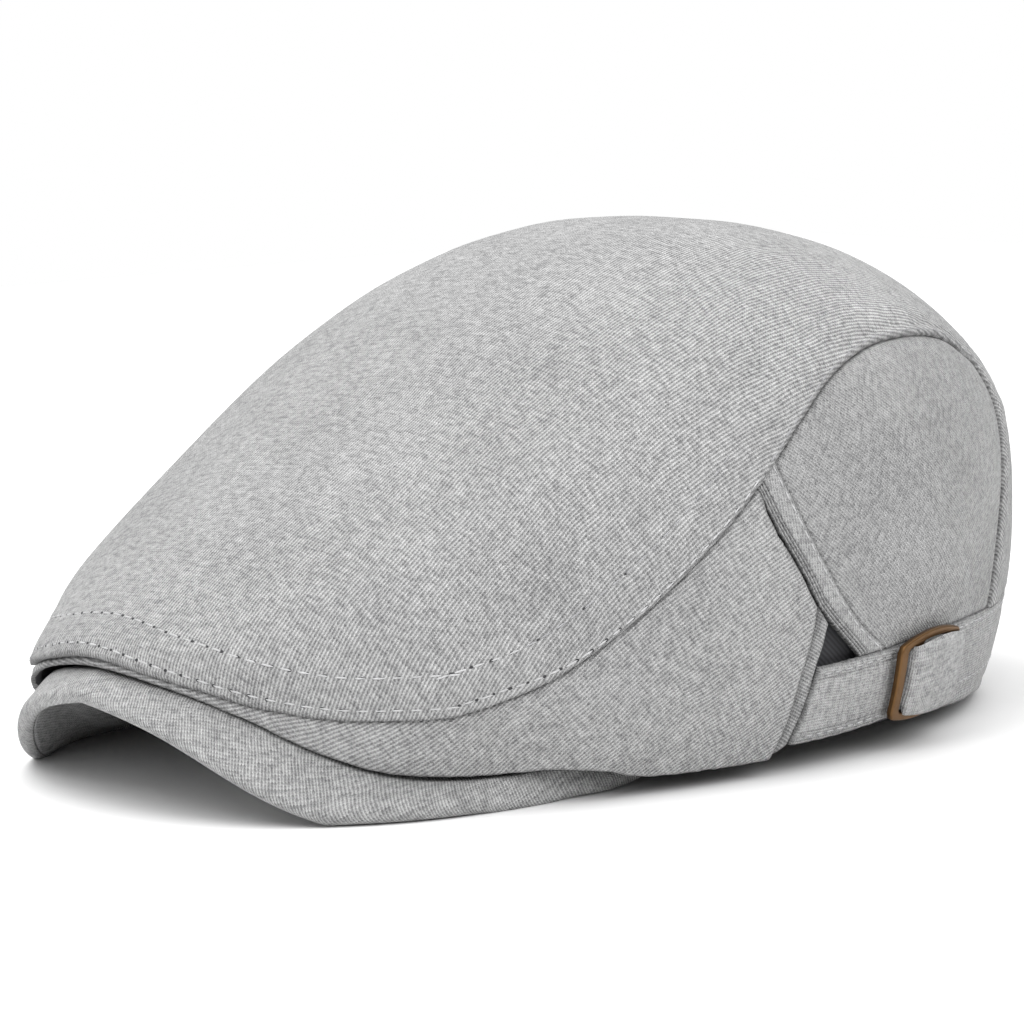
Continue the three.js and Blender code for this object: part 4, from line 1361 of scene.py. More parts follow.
@dataclass
class Buckle:
    """Slide buckle of a front, a middle and a rear bar, with a cloth loop round the last two.

    The loop's upper and lower edges are tables of places along the strap and distances from its middle.
    """

    corner: ClassVar[float] = 1.2
    hole_corner: ClassVar[float] = 0.9
    step: ClassVar[float] = 0.7
    end_steps: ClassVar[int] = 12
    loop_around: ClassVar[int] = 96
    loop_rows: ClassVar[int] = 33
    loop_square: ClassVar[float] = 5.0
    loop_puff: ClassVar[float] = 0.7
    edge_width: ClassVar[float] = 0.7
    edge_roll: ClassVar[float] = 0.5

    length: float = 27.0
    height: float = 17.2
    arch: float = 2.0
    bar: float = 3.2
    rail: float = 2.0
    thickness: float = 1.6
    slot: float = 3.0
    bevel: float = 0.45
    loop_cloth: float = 1.1
    loop_play: float = 0.4
    raised: float = 1.2
    loop_top: tuple[tuple[float, ...], ...] = ((4, 12, 19, 27, 29), (7.9, 8.7, 8.9, 8.0, 7.4))
    loop_foot: tuple[tuple[float, ...], ...] = ((4, 12, 19, 27, 29), (8.2, 9.4, 10.0, 9.5, 8.9))

    def arched(self, along: Array) -> Array:
        """Rise of the arch at places along the buckle."""
        return self.arch * (1 - (2 * along / self.length - 1) ** 2)

    def outline(self, start: float, end: float, half: float, corner: float) -> Array:
        """Draw an outline with arched upper and lower sides and rounded corners.

        Args:
            start: place of its front end along the buckle.
            end: place of its rear end.
            half: half of its height, without the arch.
            corner: radius of its corners.

        Returns:
            Its corners, as places along and across.
        """
        along = start + (end - start) * np.linspace(0, 1, max(6, round((end - start) / self.step)))
        near = np.clip(1 - np.minimum(along - start, end - along) / corner, 0, 1)
        upper = half + self.arched(along) - corner * (1 - np.sqrt(1 - near ** 2))
        side = np.linspace(upper[-1], -upper[-1], self.end_steps)[1:-1]
        first = np.linspace(-upper[0], upper[0], self.end_steps)[1:-1]
        return np.concatenate([np.stack([along, upper], -1), np.stack([side * 0 + end, side], -1),
                               np.stack([along[::-1], -upper[::-1]], -1),
                               np.stack([first * 0 + start, first], -1)])

    def build(self, brass: bpy.types.Material, cloth: bpy.types.Material) -> list[bpy.types.Object]:
        """Build both sides' buckles and loops.

        Args:
            brass: finish of the frames.
            cloth: finish of the loops.

        Returns:
            The four pieces.
        """
        mesh = self.frame_mesh()
        places = vertices_of(mesh)
        places += [0, self.raised, SEAM_GAP + self.loop_cloth + self.loop_play + self.thickness / 2]
        bent = on_strap(places)
        smooth_faces(mesh, places[:, :2])
        mesh.materials.clear()
        mesh.materials.append(brass)
        pieces = []
        for side, sign in SIDES.items():
            copy = mesh.copy()
            copy.name = f"brass_buckle_{side}"
            copy.vertices.foreach_set("co", (bent * sign * MM).astype(np.float32).reshape(-1))
            if sign[0] < 0:
                copy.flip_normals()
            copy.update()
            piece = linked(copy.name, copy)
            dress(piece, [f"buckle_{side}"])
            pieces.append(piece)
        return pieces + self.loops(cloth)

    def frame_mesh(self) -> bpy.types.Mesh:
        """Flat buckle with bevelled edges and its two holes."""
        inset, middle = self.bevel, self.bar + self.slot
        outlines = [self.outline(inset, self.length - inset, self.height / 2 - inset, self.corner)]
        for start, end in ((self.bar, middle), (middle + self.bar, self.length - self.bar)):
            outlines.append(self.outline(start - inset, end + inset, self.height / 2 - self.rail + inset,
                                         self.hole_corner))
        curve = bpy.data.curves.new("buckle_outline", "CURVE")
        curve.dimensions, curve.fill_mode = "2D", "BOTH"
        curve.extrude, curve.bevel_depth, curve.bevel_resolution = self.thickness / 2 - inset, inset, 3
        for outline in outlines:
            spline = curve.splines.new("POLY")
            spline.points.add(len(outline) - 1)
            flat, weight = np.zeros(len(outline)), np.ones(len(outline))
            spline.points.foreach_set("co", np.column_stack([outline, flat, weight]).reshape(-1))
            spline.use_cyclic_u = True
        holder = linked("buckle_outline", curve)
        mesh = finished_mesh(holder)
        bpy.data.objects.remove(holder)
        weld(mesh)
        return mesh

    def loops(self, cloth: bpy.types.Material) -> list[bpy.types.Object]:
        """Build the cloth loops: a soft ring, pressed flat, round the middle and rear bars.

        Args:
            cloth: their finish.

        Returns:
            The left and the right one.
        """
        start = self.bar + self.slot - self.loop_play - self.loop_cloth
        end = self.length + self.loop_play + self.loop_cloth
        high = self.thickness + 2 * (self.loop_play + self.loop_cloth)
        tall = self.height - 2 * (self.rail + self.loop_play - self.arched(self.bar + self.slot / 2))
        turn = np.linspace(0, 2 * math.pi, self.loop_around, endpoint=False)
        round_along, out = (powered(way, 2 / self.loop_square) for way in (np.cos(turn), np.sin(turn)))
        front = smooth(out, 0, 0.4)
        rows_out, rows_in = [], []
        for share in np.linspace(-1, 1, self.loop_rows):
            roll = self.edge_roll * (1 - min((1 - abs(share)) * tall / 2 / self.edge_width, 1)) ** 2
            puff = self.loop_puff * (1 - share ** 4)
            for rows, inset in ((rows_out, roll), (rows_in, self.loop_cloth - roll)):
                along = (start + end) / 2 + ((end - start) / 2 - inset) * round_along
                lean = (along - (start + end) / 2) / (end - start) * math.pi
                lift = high / 2 + (high / 2 - inset) * out + np.where(out > 0, puff * np.cos(lean), 0)
                edge = np.interp(along, *(self.loop_top if share > 0 else self.loop_foot))
                across = share * (tall / 2 * (1 - front) + edge * front) + self.raised
                rows.append(np.stack([along, across, lift + SEAM_GAP], -1))
        outer, inner = np.array(rows_out), np.array(rows_in)
        run = running_length(outer[self.loop_rows // 2])
        layout = np.stack([outer[:, :, 1], np.broadcast_to(run, outer.shape[:2])], -1).reshape(-1, 2)
        points = np.concatenate([on_strap(outer.reshape(-1, 3)), on_strap(inner.reshape(-1, 3))])
        faces = shell_faces(*outer.shape[:2], True)
        pieces = []
        for side, sign in SIDES.items():
            piece = make_piece(f"cloth_buckle_loop_{side}", points * sign, faces,
                               np.tile(turned(layout, 0), (2, 1)), cloth)
            dress(piece, [f"buckle_loop_{side}"])
            pieces.append(piece)
        return pieces


def vertices_of(mesh: bpy.types.Mesh) -> Array:
    """Places of a mesh's vertices."""
    places = np.empty(len(mesh.vertices) * 3, np.float32)
    mesh.vertices.foreach_get("co", places)
    return places.reshape(-1, 3).astype(float)


def weld(mesh: bpy.types.Mesh) -> None:
    """Merge a mesh's doubled vertices and turn its faces outwards.

    Args:
        mesh: the mesh.
    """
    work = bmesh.new()
    work.from_mesh(mesh)
    bmesh.ops.remove_doubles(work, verts=work.verts, dist=1e-4)
    bmesh.ops.recalc_face_normals(work, faces=work.faces)
    work.to_mesh(mesh)
    work.free()


def add(tree: bpy.types.NodeTree, kind: str, settings: dict | None = None,
        links: dict | None = None) -> bpy.types.Node:
    """Add a node with its settings and links.

    Args:
        tree: the node tree.
        kind: the node's type.
        settings: values of its properties, or of its sockets by name or number.
        links: sources of its sockets, as connect takes them.

    Returns:
        The node.
    """
    node = tree.nodes.new(kind)
    for key, value in (settings or {}).items():
        if isinstance(key, str) and hasattr(node, key):
            setattr(node, key, value)
        else:
            node.inputs[key].default_value = value
    connect(node, links or {})
    return node


def connect(node: bpy.types.Node, links: dict) -> None:
    """Link sources to a node.

    Args:
        node: the node.
        links: sources by the name or number of its socket. A node stands for its first output.
    """
    for key, source in links.items():
        if isinstance(source, bpy.types.Node):
            source = source.outputs[0]
        node.id_data.links.new(source, node.inputs[key])


def ramp(tree: bpy.types.NodeTree, source: object, stops: Sequence[tuple[float, str]]) -> bpy.types.Node:
    """Add a colour ramp.

    Args:
        tree: the node tree.
        source: of the value.
        stops: places and sRGB hex colours, from the lowest place up.

    Returns:
        The node.
    """
    node = add(tree, "ShaderNodeValToRGB", {}, {0: source})
    elements = node.color_ramp.elements
    for element, (place, colour) in zip((elements[0], elements[1]), (stops[0], stops[-1])):
        element.position, element.color = place, linear(colour)
    for place, colour in stops[1:-1]:
        elements.new(place).color = linear(colour)
    return node


def new_material(name: str, **values: object
                 ) -> tuple[bpy.types.Material, bpy.types.NodeTree, bpy.types.Node]:
    """Make a material.

    Args:
        name: of the finish.
        values: of the shader's sockets, with underscores for the spaces in their names.

    Returns:
        The material, its node tree and its shader.
    """
    material = bpy.data.materials.new(name)
    material.use_nodes = True
    shader = material.node_tree.nodes["Principled BSDF"]
    for key, value in values.items():
        shader.inputs[key.replace("_", " ")].default_value = value
    return material, material.node_tree, shader


@dataclass(frozen=True)
class Jersey:
    """Cotton jersey knitted from marl yarn.

    Fine straight columns of stitches give light and dark ribs. The yarn's grey varies along its length,
    so faint streaks run across the columns. Painted shade from the crease attribute darkens it in seams and
    creases.
    """

    name: str
    light: str = "#c9c9c9"
    middle: str = "#adadad"
    dark: str = "#868687"
    column: float = 0.95
    stitch: float = 0.8
    rib: float = 0.3
    bead: float = 0.09
    speck: float = 0.42
    streak: float = 0.95
    relief: float = 0.2
    cloud: float = 0.3
    fuzz: float = 1.0
    cloud_scale: float = 0.03
    fuzz_scale: float = 3.4
    wobble_scale: float = 0.05
    streak_scale: tuple[float, float, float] = (0.24, 0.85, 1.0)

    def build(self) -> bpy.types.Material:
        """Build the material."""
        material, tree, shader = new_material(self.name, Roughness=0.93, Specular_IOR_Level=0.2,
                                              Sheen_Weight=0.12, Sheen_Roughness=0.5)

        def math_node(operation: str, *inputs: object) -> bpy.types.Node:
            """Add a node of arithmetic on numbers and sources."""
            numbers = {k: v for k, v in enumerate(inputs) if isinstance(v, (int, float))}
            sources = {k: v for k, v in enumerate(inputs) if k not in numbers}
            return add(tree, "ShaderNodeMath", {"operation": operation, **numbers}, sources)

        def noise(source: object, scale: float, detail: float, roughness: float = 0.5) -> bpy.types.Node:
            """Add flat noise."""
            settings = {"Scale": scale, "Detail": detail, "Roughness": roughness, "noise_dimensions": "2D"}
            return add(tree, "ShaderNodeTexNoise", settings, {0: source})

        uv = add(tree, "ShaderNodeUVMap", {"uv_map": "cloth"})
        shift = add(tree, "ShaderNodeVectorMath",
                    {"operation": "MULTIPLY_ADD", 1: (2.0, 2.0, 0), 2: (-1.0, -1.0, 0)},
                    {0: noise(uv, self.wobble_scale, 2.0).outputs["Color"]})
        place = add(tree, "ShaderNodeVectorMath", {"operation": "ADD"}, {0: uv, 1: shift})
        axes = add(tree, "ShaderNodeSeparateXYZ", {}, {0: place})
        column = math_node("DIVIDE", axes.outputs[0], self.column)
        wave = math_node("COSINE", math_node("MULTIPLY", column, 2 * math.pi))
        off = math_node("PINGPONG", column, 0.5)
        row = math_node("ADD", math_node("DIVIDE", axes.outputs[1], self.stitch), off)
        beads = math_node("COSINE", math_node("MULTIPLY", row, 2 * math.pi))
        cell = add(tree, "ShaderNodeCombineXYZ", {},
                   {0: math_node("FLOOR", column), 1: math_node("FLOOR", row)})
        speck = add(tree, "ShaderNodeTexWhiteNoise", {"noise_dimensions": "2D"}, {0: cell})
        stretch = add(tree, "ShaderNodeMapping", {"Scale": self.streak_scale}, {0: place})
        fuzz = noise(uv, self.fuzz_scale, 1.0)
        tone = 0.5
        for source, weight in ((speck.outputs["Value"], self.speck),
                               (noise(stretch, 1.0, 2.5, 0.6).outputs["Fac"], self.streak),
                               (noise(uv, self.cloud_scale, 2.0).outputs["Fac"], self.cloud),
                               (fuzz.outputs["Fac"], self.fuzz)):
            tone = math_node("MULTIPLY_ADD", math_node("SUBTRACT", source, 0.5), weight, tone)
        marl = ramp(tree, tone, ((0.05, self.dark), (0.5, self.middle), (0.95, self.light)))
        shade = math_node("MULTIPLY_ADD", wave, self.rib, 1.0 - self.rib * 0.4)
        shade = math_node("MULTIPLY_ADD", beads, self.bead, shade)
        # painted shade: the crease attribute darkens the colour in seams, creases and the slit's gap
        crease = add(tree, "ShaderNodeAttribute", {"attribute_name": "crease"})
        shade = math_node("MULTIPLY", shade, math_node("MULTIPLY_ADD", crease.outputs["Fac"], -1.0, 1.0))
        colour = add(tree, "ShaderNodeVectorMath", {"operation": "SCALE"}, {0: marl, "Scale": shade})
        height = math_node("MULTIPLY_ADD", wave, 0.5, fuzz.outputs["Fac"])
        height = math_node("MULTIPLY_ADD", beads, 0.3, height)
        bump = add(tree, "ShaderNodeBump", {"Strength": 1.0, "Distance": self.relief * MM},
                   {"Height": height})
        connect(shader, {"Base Color": colour, "Normal": bump})
        return material


@dataclass(frozen=True)
class Twill:
    """Dark cotton twill: fine diagonal ribs with little contrast. It is the sweatband's cloth, dark partly
    as painted shade inside the opening, and on the panels' inner faces and the board it is painted shade
    for the cap's inside.
    """

    name: str
    colour: str = "#454547"
    ridge: str = "#535356"
    spacing: float = 0.7

    def build(self) -> bpy.types.Material:
        """Build the material."""
        material, tree, shader = new_material(self.name, Roughness=0.95, Specular_IOR_Level=0.2)
        uv = add(tree, "ShaderNodeUVMap", {"uv_map": "cloth"})
        wave = add(tree, "ShaderNodeTexWave", {"bands_direction": "DIAGONAL", "Scale": 0.3 / self.spacing,
                                               "Distortion": 0.6}, {0: uv}).outputs["Fac"]
        tone = ramp(tree, wave, ((0.0, self.colour), (1.0, self.ridge)))
        bump = add(tree, "ShaderNodeBump", {"Strength": 0.7, "Distance": 0.1 * MM}, {"Height": wave})
        connect(shader, {"Base Color": tone, "Normal": bump})
        return material


@dataclass(frozen=True)
class AntiqueBrass:
    """Cast brass, darkened and rubbed bright on its edges."""

    name: str
    bright: str = "#6d5236"
    dark: str = "#2c1e10"

    def build(self) -> bpy.types.Material:
        """Build the material."""
        material, tree, shader = new_material(self.name, Metallic=1.0)
        place = add(tree, "ShaderNodeTexCoord")
        grain = add(tree, "ShaderNodeTexNoise", {"Scale": 260.0, "Detail": 5.0, "Roughness": 0.62},
                    {0: place.outputs["Object"]}).outputs["Fac"]
        geometry = add(tree, "ShaderNodeNewGeometry")
        edge = add(tree, "ShaderNodeMapRange", {"From Min": 0.49, "From Max": 0.56},
                   {"Value": geometry.outputs["Pointiness"]})
        worn = add(tree, "ShaderNodeMath", {"operation": "MULTIPLY_ADD", 1: 0.75}, {0: grain, 2: edge})
        tone = ramp(tree, worn, ((0.25, self.dark), (0.8, self.bright)))
        rough = add(tree, "ShaderNodeMapRange", {"To Min": 0.55, "To Max": 0.38}, {"Value": worn})
        bump = add(tree, "ShaderNodeBump", {"Strength": 0.4, "Distance": 0.05 * MM}, {"Height": grain})
        connect(shader, {"Base Color": tone, "Roughness": rough, "Normal": bump})
        return material


@dataclass(frozen=True)
class Thread:
    """Spun sewing thread with a slight twist, in one colour."""

    name: str
    colour: str = "#c6c6c7"

    def build(self) -> bpy.types.Material:
        """Build the material."""
        material, tree, shader = new_material(self.name, Roughness=0.85)
        place = add(tree, "ShaderNodeTexCoord")
        noise = add(tree, "ShaderNodeTexNoise", {"Scale": 900.0, "Detail": 2.0},
                    {0: place.outputs["Object"]})
        level = add(tree, "ShaderNodeMapRange", {"To Min": 0.75, "To Max": 1.15},
                    {"Value": noise.outputs["Fac"]})
        tone = add(tree, "ShaderNodeHueSaturation", {"Color": linear(self.colour)}, {"Value": level})
        connect(shader, {"Base Color": tone})
        return material


def settled(lines: Sequence[tuple[Array, Array]], pieces: Sequence[bpy.types.Object],
            above: float) -> list[tuple[Array, Array]]:
    """Lay lines on the outer faces of finished pieces.

    Args:
        lines: points in millimetres and unit normals of each line.
        pieces: the cloth under them.
        above: height of the laid line over the cloth.

    Returns:
        The lines on the cloth, in millimetres.
    """
    trees = [BVHTree.FromPolygons([vertex.co for vertex in piece.data.vertices],
                                  [tuple(face.vertices) for face in piece.data.polygons])
             for piece in pieces]
    laid = []
    for line, normals in lines:
        places, keep = [], []
        for point, normal in zip(line, normals):
            start, way = Vector((point + normal * PROBE_REACH) * MM), Vector(-normal)
            hits = [tree.ray_cast(start, way, 2 * PROBE_REACH * MM)[0] for tree in trees]
            hits = [hit for hit in hits if hit is not None]
            keep.append(bool(hits))
            spot = min(hits, key=lambda hit: (hit - start).length, default=start)
            places.append(np.array(spot) / MM + normal * above)
        laid.append((np.array(places)[keep], normals[keep]))
    return laid


@dataclass
class StitchRow:
    """Row of sewn stitches along lines on the cloth, made by one Geometry Nodes tree.

    The stitches are as far apart as the spacing, start a shift later and lie a little above the cloth.
    """

    spacing: float = 4.1
    length: float = 2.8
    width: float = 0.44
    height: float = 0.3
    shift: float = 0.0
    above: float = 0.06

    def tree(self) -> bpy.types.GeometryNodeTree:
        """Build the tree that sets a stitch at even steps along each line.

        Returns:
            The tree, with an input for each size.
        """
        tree = bpy.data.node_groups.new("stitch_row", "GeometryNodeTree")
        face = tree.interface
        face.new_socket("Geometry", in_out="INPUT", socket_type="NodeSocketGeometry")
        for name in ("Spacing", "Length", "Width", "Height"):
            face.new_socket(name, in_out="INPUT", socket_type="NodeSocketFloat")
        face.new_socket("Material", in_out="INPUT", socket_type="NodeSocketMaterial")
        face.new_socket("Geometry", in_out="OUTPUT", socket_type="NodeSocketGeometry")
        start = add(tree, "NodeGroupInput")
        curve = add(tree, "GeometryNodeMeshToCurve", {}, {0: start.outputs["Geometry"]})
        even = add(tree, "GeometryNodeResampleCurve", {"mode": "LENGTH"},
                   {"Curve": curve, "Length": start.outputs["Spacing"]})
        up = add(tree, "GeometryNodeInputNamedAttribute", {"data_type": "FLOAT_VECTOR", "Name": "lift"})
        tangent = add(tree, "GeometryNodeInputTangent")
        turn = add(tree, "FunctionNodeAxesToRotation", {"primary_axis": "Z", "secondary_axis": "X"},
                   {"Primary Axis": up.outputs["Attribute"], "Secondary Axis": tangent})
        size = add(tree, "ShaderNodeCombineXYZ", {}, {k: start.outputs[name] for k, name in
                                                      enumerate(("Length", "Width", "Height"))})
        bead = add(tree, "GeometryNodeMeshUVSphere", {"Segments": 8, "Rings": 6, "Radius": 0.5})
        flat = add(tree, "GeometryNodeTransform", {"Rotation": (0, math.pi / 2, 0)}, {"Geometry": bead})
        jitter = add(tree, "FunctionNodeRandomValue", {"data_type": "FLOAT", 2: 0.85, 3: 1.1, "Seed": SEED})
        sized = add(tree, "ShaderNodeVectorMath", {"operation": "SCALE"},
                    {0: size, "Scale": jitter.outputs[1]})
        beads = add(tree, "GeometryNodeInstanceOnPoints", {},
                    {"Points": even, "Instance": flat, "Rotation": turn, "Scale": sized})
        real = add(tree, "GeometryNodeRealizeInstances", {}, {0: beads})
        soft = add(tree, "GeometryNodeSetShadeSmooth", {}, {0: real})
        dressed = add(tree, "GeometryNodeSetMaterial", {}, {0: soft, "Material": start.outputs["Material"]})
        add(tree, "NodeGroupOutput", {}, {0: dressed})
        return tree

    def build(self, name: str, lines: Sequence[tuple[Array, Array]],
              cloth: Sequence[bpy.types.Object], material: bpy.types.Material,
              slot: str) -> bpy.types.Object:
        """Sew stitches along lines.

        Args:
            name: of the piece.
            lines: points in millimetres and unit normals of each line.
            cloth: the pieces that they are sewn through.
            material: the thread.
            slot: not used.

        Returns:
            The piece.
        """
        lines = [started(*line, self.shift) for line in settled(lines, cloth, self.above)]
        points = np.concatenate([line for line, _ in lines]) * MM
        normals = np.concatenate([normal for _, normal in lines])
        edges, start = [], 0
        for line, _ in lines:
            edges += [(start + k, start + k + 1) for k in range(len(line) - 1)]
            start += len(line)
        mesh = bpy.data.meshes.new(name + "_line")
        mesh.from_pydata(points.tolist(), edges, [])
        lift = mesh.attributes.new("lift", "FLOAT_VECTOR", "POINT")
        lift.data.foreach_set("vector", normals.astype(np.float32).reshape(-1))
        holder = linked(name + "_line", mesh)
        modifier = holder.modifiers.new("stitches", "NODES")
        modifier.node_group = self.tree()
        sockets = {item.name: item.identifier for item in modifier.node_group.interface.items_tree
                   if item.in_out == "INPUT"}
        for size in ("spacing", "length", "width", "height"):
            modifier[sockets[size.capitalize()]] = getattr(self, size) * MM
        modifier[sockets["Material"]] = material
        made = finished_mesh(holder)
        holder.modifiers.remove(modifier)
        bpy.data.objects.remove(holder)
        made.name = name
        piece = linked(name, made)
        dress(piece, [])
        return piece


def started(line: Array, normals: Array, shift: float) -> tuple[Array, Array]:
    """Start a line later.

    Args:
        line: its points.
        normals: at its points.
        shift: length to leave out.

    Returns:
        The points and unit normals that are left.
    """
    run = running_length(line)
    places = np.concatenate([[shift], run[run > shift]])
    line, normals = (np.stack([np.interp(places, run, rows[:, k]) for k in range(3)], -1)
                     for rows in (line, normals))
    return line, unit(normals)


def both_sides(path: Path, offset: Edge | float, span: tuple[float, float] = (0, 1),
               away: float = 1) -> list[tuple[Array, Array]]:
    """Draw a line on the crown beside a path of azimuths and heights, on both sides of the cap.

    Args:
        path: the seam.
        offset: distance from the seam.
        span: shares of the path between which the line runs.
        away: 1 to lie above or before the path, -1 below or behind it.

    Returns:
        Points and unit normals of the left and the right line.
    """
    spots = path(np.linspace(*span, 500))
    line = resample(CROWN.on_wall(spots[:, 0], spots[:, 1]), SEAM_STEP)
    inward = np.cross(CROWN.normals(line), unit(np.gradient(line, axis=0))) * away
    distance = offset(np.linspace(0, 1, len(line)))[:, None] if callable(offset) else offset
    moved = CROWN.onto(line + inward * distance)
    normals = CROWN.normals(moved)
    return [(moved * sign, normals * sign) for sign in SIDES.values()]


@dataclass
class Seams:
    """Rows of topstitching, and dark beads of painted shade in the needle holes beside them."""

    cloth: dict[str, bpy.types.Object]
    edge_row: float = 2.6
    second_row: float = 10.0
    seam_row: float = 1.1
    band_row: float = 1.8

    def pieces(self, node: str) -> list[bpy.types.Object]:
        """Cloth pieces of a node, on both sides where there are two."""
        return [piece for name, piece in self.cloth.items() if name.startswith(f"cloth_{node}")]

    def level(self, start: float, end: float, drop: float) -> list[tuple[Array, Array]]:
        """Draw lines along the strap or the rear band.

        Args:
            start: azimuth of their first end.
            end: azimuth of their other end.
            drop: how far they lie below the band line.

        Returns:
            Points and unit normals of the left and the right line.
        """
        return both_sides(Path((band_edge(start, end, drop)(np.linspace(0, 1, 40)), 1)), 0.0)

    def build(self, pale: bpy.types.Material, dull: bpy.types.Material, hole: bpy.types.Material) -> None:
        """Sew all the rows.

        Args:
            pale: thread of the visible rows in front.
            dull: thread that is nearly as dark as the cloth.
            hole: the shade in a needle hole.
        """

        def narrowing(share: Array) -> Array:
            """Distance of the edge row from the side seam, which it nears behind the beak."""
            return self.edge_row + (self.seam_row - self.edge_row) * smooth(share, 0.1, 0.4)

        side = Path((SEAM_SIDE, 10))
        crown = self.pieces("crown_top")
        front = both_sides(BEAK_PATH, self.edge_row) + both_sides(side, narrowing)
        front += both_sides(BEAK_PATH, self.second_row) + both_sides(side, self.second_row, (0, 0.2))
        far = both_sides(side, self.second_row, (0.2, 1))
        rear = both_sides(Path((SEAM_REAR, 1)), self.seam_row)
        StitchRow().build("stitches_top_edge", front, crown, pale, "jersey_top")
        StitchRow(width=0.4).build("stitches_top_rear", far + rear, crown, dull, "jersey_top")
        # Dark beads laid on the cloth as painted shade in the needle holes.
        hole_shade_dots = StitchRow(length=0.95, width=0.75, height=0.12, shift=2.05, above=0.03)
        hole_shade_dots.build("needle_holes_top_edge", front, crown, hole, "jersey_top")
        sparse_hole_shade_dots = replace(hole_shade_dots, spacing=12.3, length=0.9, width=0.6)
        sparse_hole_shade_dots.build("needle_holes_top_side", far, crown, hole, "jersey_top")
        fine = StitchRow(spacing=3.4, length=2.4, width=0.4)
        foot_row = STRAP_WIDTH - self.band_row
        strap = self.level(92, 105, self.band_row) + self.level(90, 105, foot_row)
        fine.build("stitches_strap", strap, self.pieces("strap"), pale, "jersey_strap")
        band = self.level(122, 180, self.band_row) + self.level(122, 180, foot_row)
        fine.build("stitches_rear_band", band, self.pieces("rear_band"), pale, "jersey_strap")
        binding = both_sides(BINDING_BACK, self.seam_row, away=-1)
        fine.build("stitches_slit", binding, self.pieces("slit_binding") + self.pieces("back_panel"), pale,
                   "jersey_top")


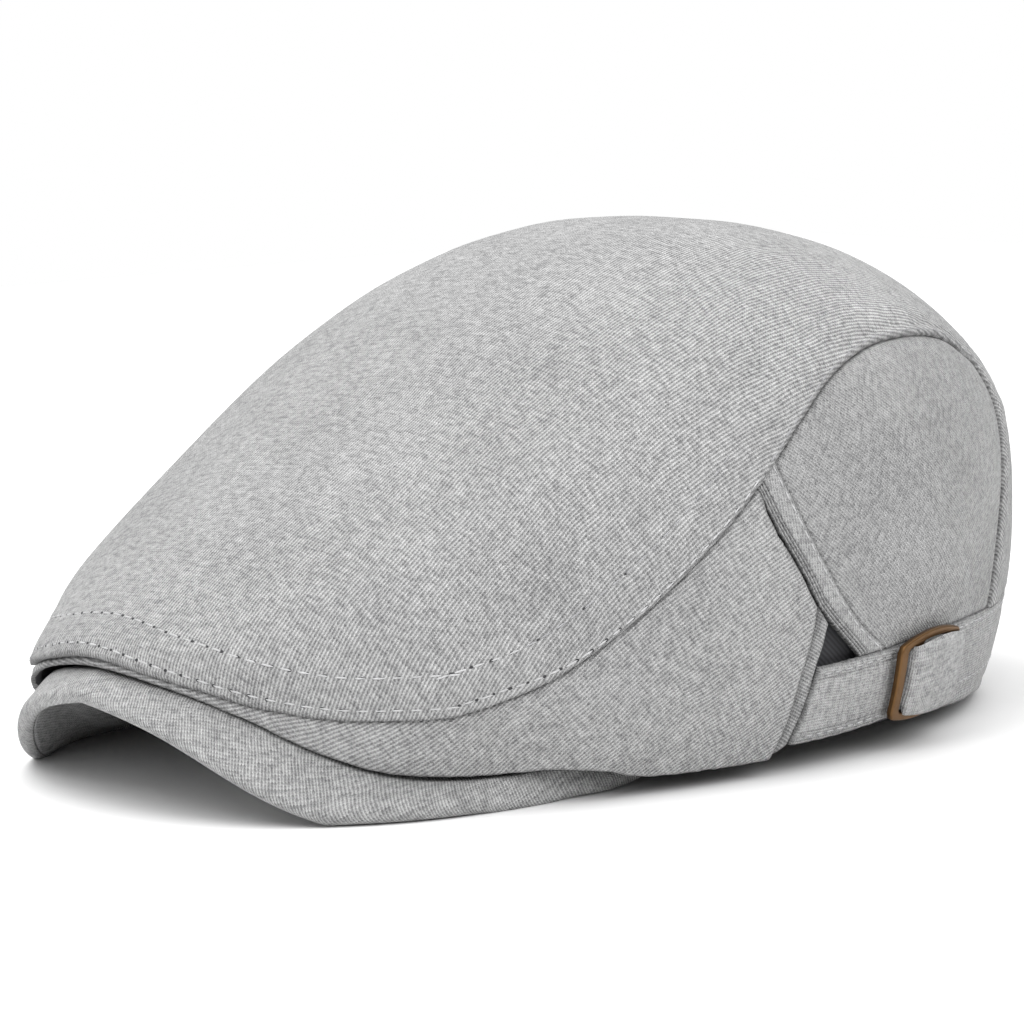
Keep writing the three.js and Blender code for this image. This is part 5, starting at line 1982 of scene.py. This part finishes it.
@dataclass
class Studio:
    """Camera, pale floor and soft lights.

    Each lamp has a name, a place and a size in metres, and a power in watts. The camera's distance and
    target are in millimetres.
    """

    azimuth: float = 49.474
    elevation: float = 8.083
    roll: float = -1.34
    distance: float = 949.2
    target: tuple[float, float, float] = (0.0, -8.45, 54.5)
    lens: float = 133.0
    sensor: float = 36.0
    floor_size: float = 2.6
    floor_colour: str = "#f4f4f4"
    lamp_aim: float = 0.06
    low_glow: float = 0.26
    high_glow: float = 1.5
    lamps: tuple[tuple[str, tuple[float, float, float], float, float], ...] = (
        ("overhead", (-0.45, -0.3, 1.55), 1.0, 8.5), ("ahead", (0.1, -0.9, 1.4), 0.9, 6.0),
        ("beside", (1.2, 0.1, 1.0), 0.9, 5.0))

    def camera(self) -> None:
        """Set the camera up at the photograph's angle."""
        a, e, r = map(math.radians, (self.azimuth, self.elevation, self.roll))
        back = Vector((math.sin(a) * math.cos(e), -math.cos(a) * math.cos(e), math.sin(e)))
        right = Vector((math.cos(a), math.sin(a), 0))
        up = back.cross(right)
        right, up = right * math.cos(r) + up * math.sin(r), up * math.cos(r) - right * math.sin(r)
        data = bpy.data.cameras.new("camera")
        data.lens, data.sensor_width, data.sensor_fit = self.lens, self.sensor, "HORIZONTAL"
        data.clip_start, data.clip_end = 0.05, 200.0
        camera = linked("camera", data)
        place = Vector(self.target) * MM + back * self.distance * MM
        camera.matrix_world = Matrix((
            (right.x, up.x, back.x, place.x), (right.y, up.y, back.y, place.y),
            (right.z, up.z, back.z, place.z), (0, 0, 0, 1)))
        bpy.context.scene.camera = camera

    def floor(self) -> None:
        """Lay a plain pale floor."""
        size = self.floor_size / 2
        mesh = bpy.data.meshes.new("floor")
        mesh.from_pydata([(-size, -size, 0), (size, -size, 0), (size, size, 0), (-size, size, 0)], [],
                         [(0, 1, 2, 3)])
        material, _, _ = new_material("matt_white_floor", Base_Color=linear(self.floor_colour),
                                      Roughness=0.9, Specular_IOR_Level=0.1)
        mesh.materials.append(material)
        linked("floor", mesh)

    def lights(self) -> None:
        """Set soft surroundings that are brightest overhead, and hang the lamps."""
        world = bpy.data.worlds.new("studio")
        world.use_nodes = True
        tree = world.node_tree
        place = add(tree, "ShaderNodeTexCoord")
        axes = add(tree, "ShaderNodeSeparateXYZ", {}, {0: place.outputs["Generated"]})
        glow = add(tree, "ShaderNodeMapRange", {"From Min": 0.0, "From Max": 0.9, "To Min": self.low_glow,
                                                "To Max": self.high_glow}, {"Value": axes.outputs[2]})
        seen = add(tree, "ShaderNodeLightPath")
        strength = add(tree, "ShaderNodeMix", {"data_type": "FLOAT", "B": 1.0},
                       {"Factor": seen.outputs["Is Camera Ray"], "A": glow})
        back = tree.nodes["Background"]
        back.inputs["Color"].default_value = (1, 1, 1, 1)
        tree.links.new(strength.outputs[0], back.inputs["Strength"])
        bpy.context.scene.world = world
        bpy.context.scene.view_settings.view_transform = "Standard"
        for name, place, size, power in self.lamps:
            data = bpy.data.lights.new(name, "AREA")
            data.size, data.energy = size, power
            light = linked(name, data)
            light.location = place
            ahead = Vector((0, 0, self.lamp_aim)) - Vector(place)
            light.rotation_euler = ahead.to_track_quat("-Z", "Y").to_euler()


def main() -> None:
    """Build the cap and its studio."""
    logging.basicConfig(level=logging.INFO, format="%(name)s: %(message)s")
    studio = Studio()
    studio.camera()
    jersey = Jersey("marl_cotton_jersey").build()
    side = Jersey("marl_cotton_jersey_side", column=0.78, rib=0.27)
    side_jersey = side.build()
    binding = replace(side, name="marl_cotton_jersey_binding", rib=0.15, streak=0.6)
    # Painted shade: the back panel's jersey is a darker copy of the binding's, for the back of the cap that
    # faces away from the lamps.
    rear = replace(binding, name="marl_cotton_jersey_rear_painted_shade", light="#c1c1c1", middle="#a4a4a4",
                   dark="#7c7c7d")
    own = {"slit_binding": binding.build(), "back_panel": rear.build()}
    narrow = Jersey("marl_cotton_jersey_narrow", column=0.7, rib=0.12, streak=1.0).build()
    brass = AntiqueBrass("antique_brass_cast").build()
    # Dark twill: the sweatband's cloth, and painted shade on the panels' inner faces and on the board
    # inside the brim.
    twill_and_painted_inside_shade = Twill("dark_twill_and_painted_inside_shade").build()
    pale_thread = Thread("pale_spun_thread").build()
    dull_thread = Thread("dull_spun_thread", "#a3a3a5").build()
    # Painted shade for the needle holes, made with the thread's finish.
    hole = Thread("needle_hole_shade", "#3a3a3c").build()
    by_slot = {"jersey_strap": narrow, "jersey_side": side_jersey, "jersey_top": jersey}
    cloth = {}
    for panel in panels():
        for piece in panel.build(own.get(panel.node, by_slot[panel.slot]), twill_and_painted_inside_shade):
            cloth[piece.name] = piece
    opening = Opening()
    brim = Brim(opening)
    brim.build(side_jersey)
    opening.build(brim, twill_and_painted_inside_shade)
    Buckle().build(brass, narrow)
    Seams(cloth).build(pale_thread, dull_thread, hole)
    # The board inside the brim gets the dark twill as painted shade.
    board = bpy.data.objects["brim_board"]
    board.data.materials.clear()
    board.data.materials.append(twill_and_painted_inside_shade)
    studio.floor()
    studio.lights()


if __name__ == "__main__":
    main()
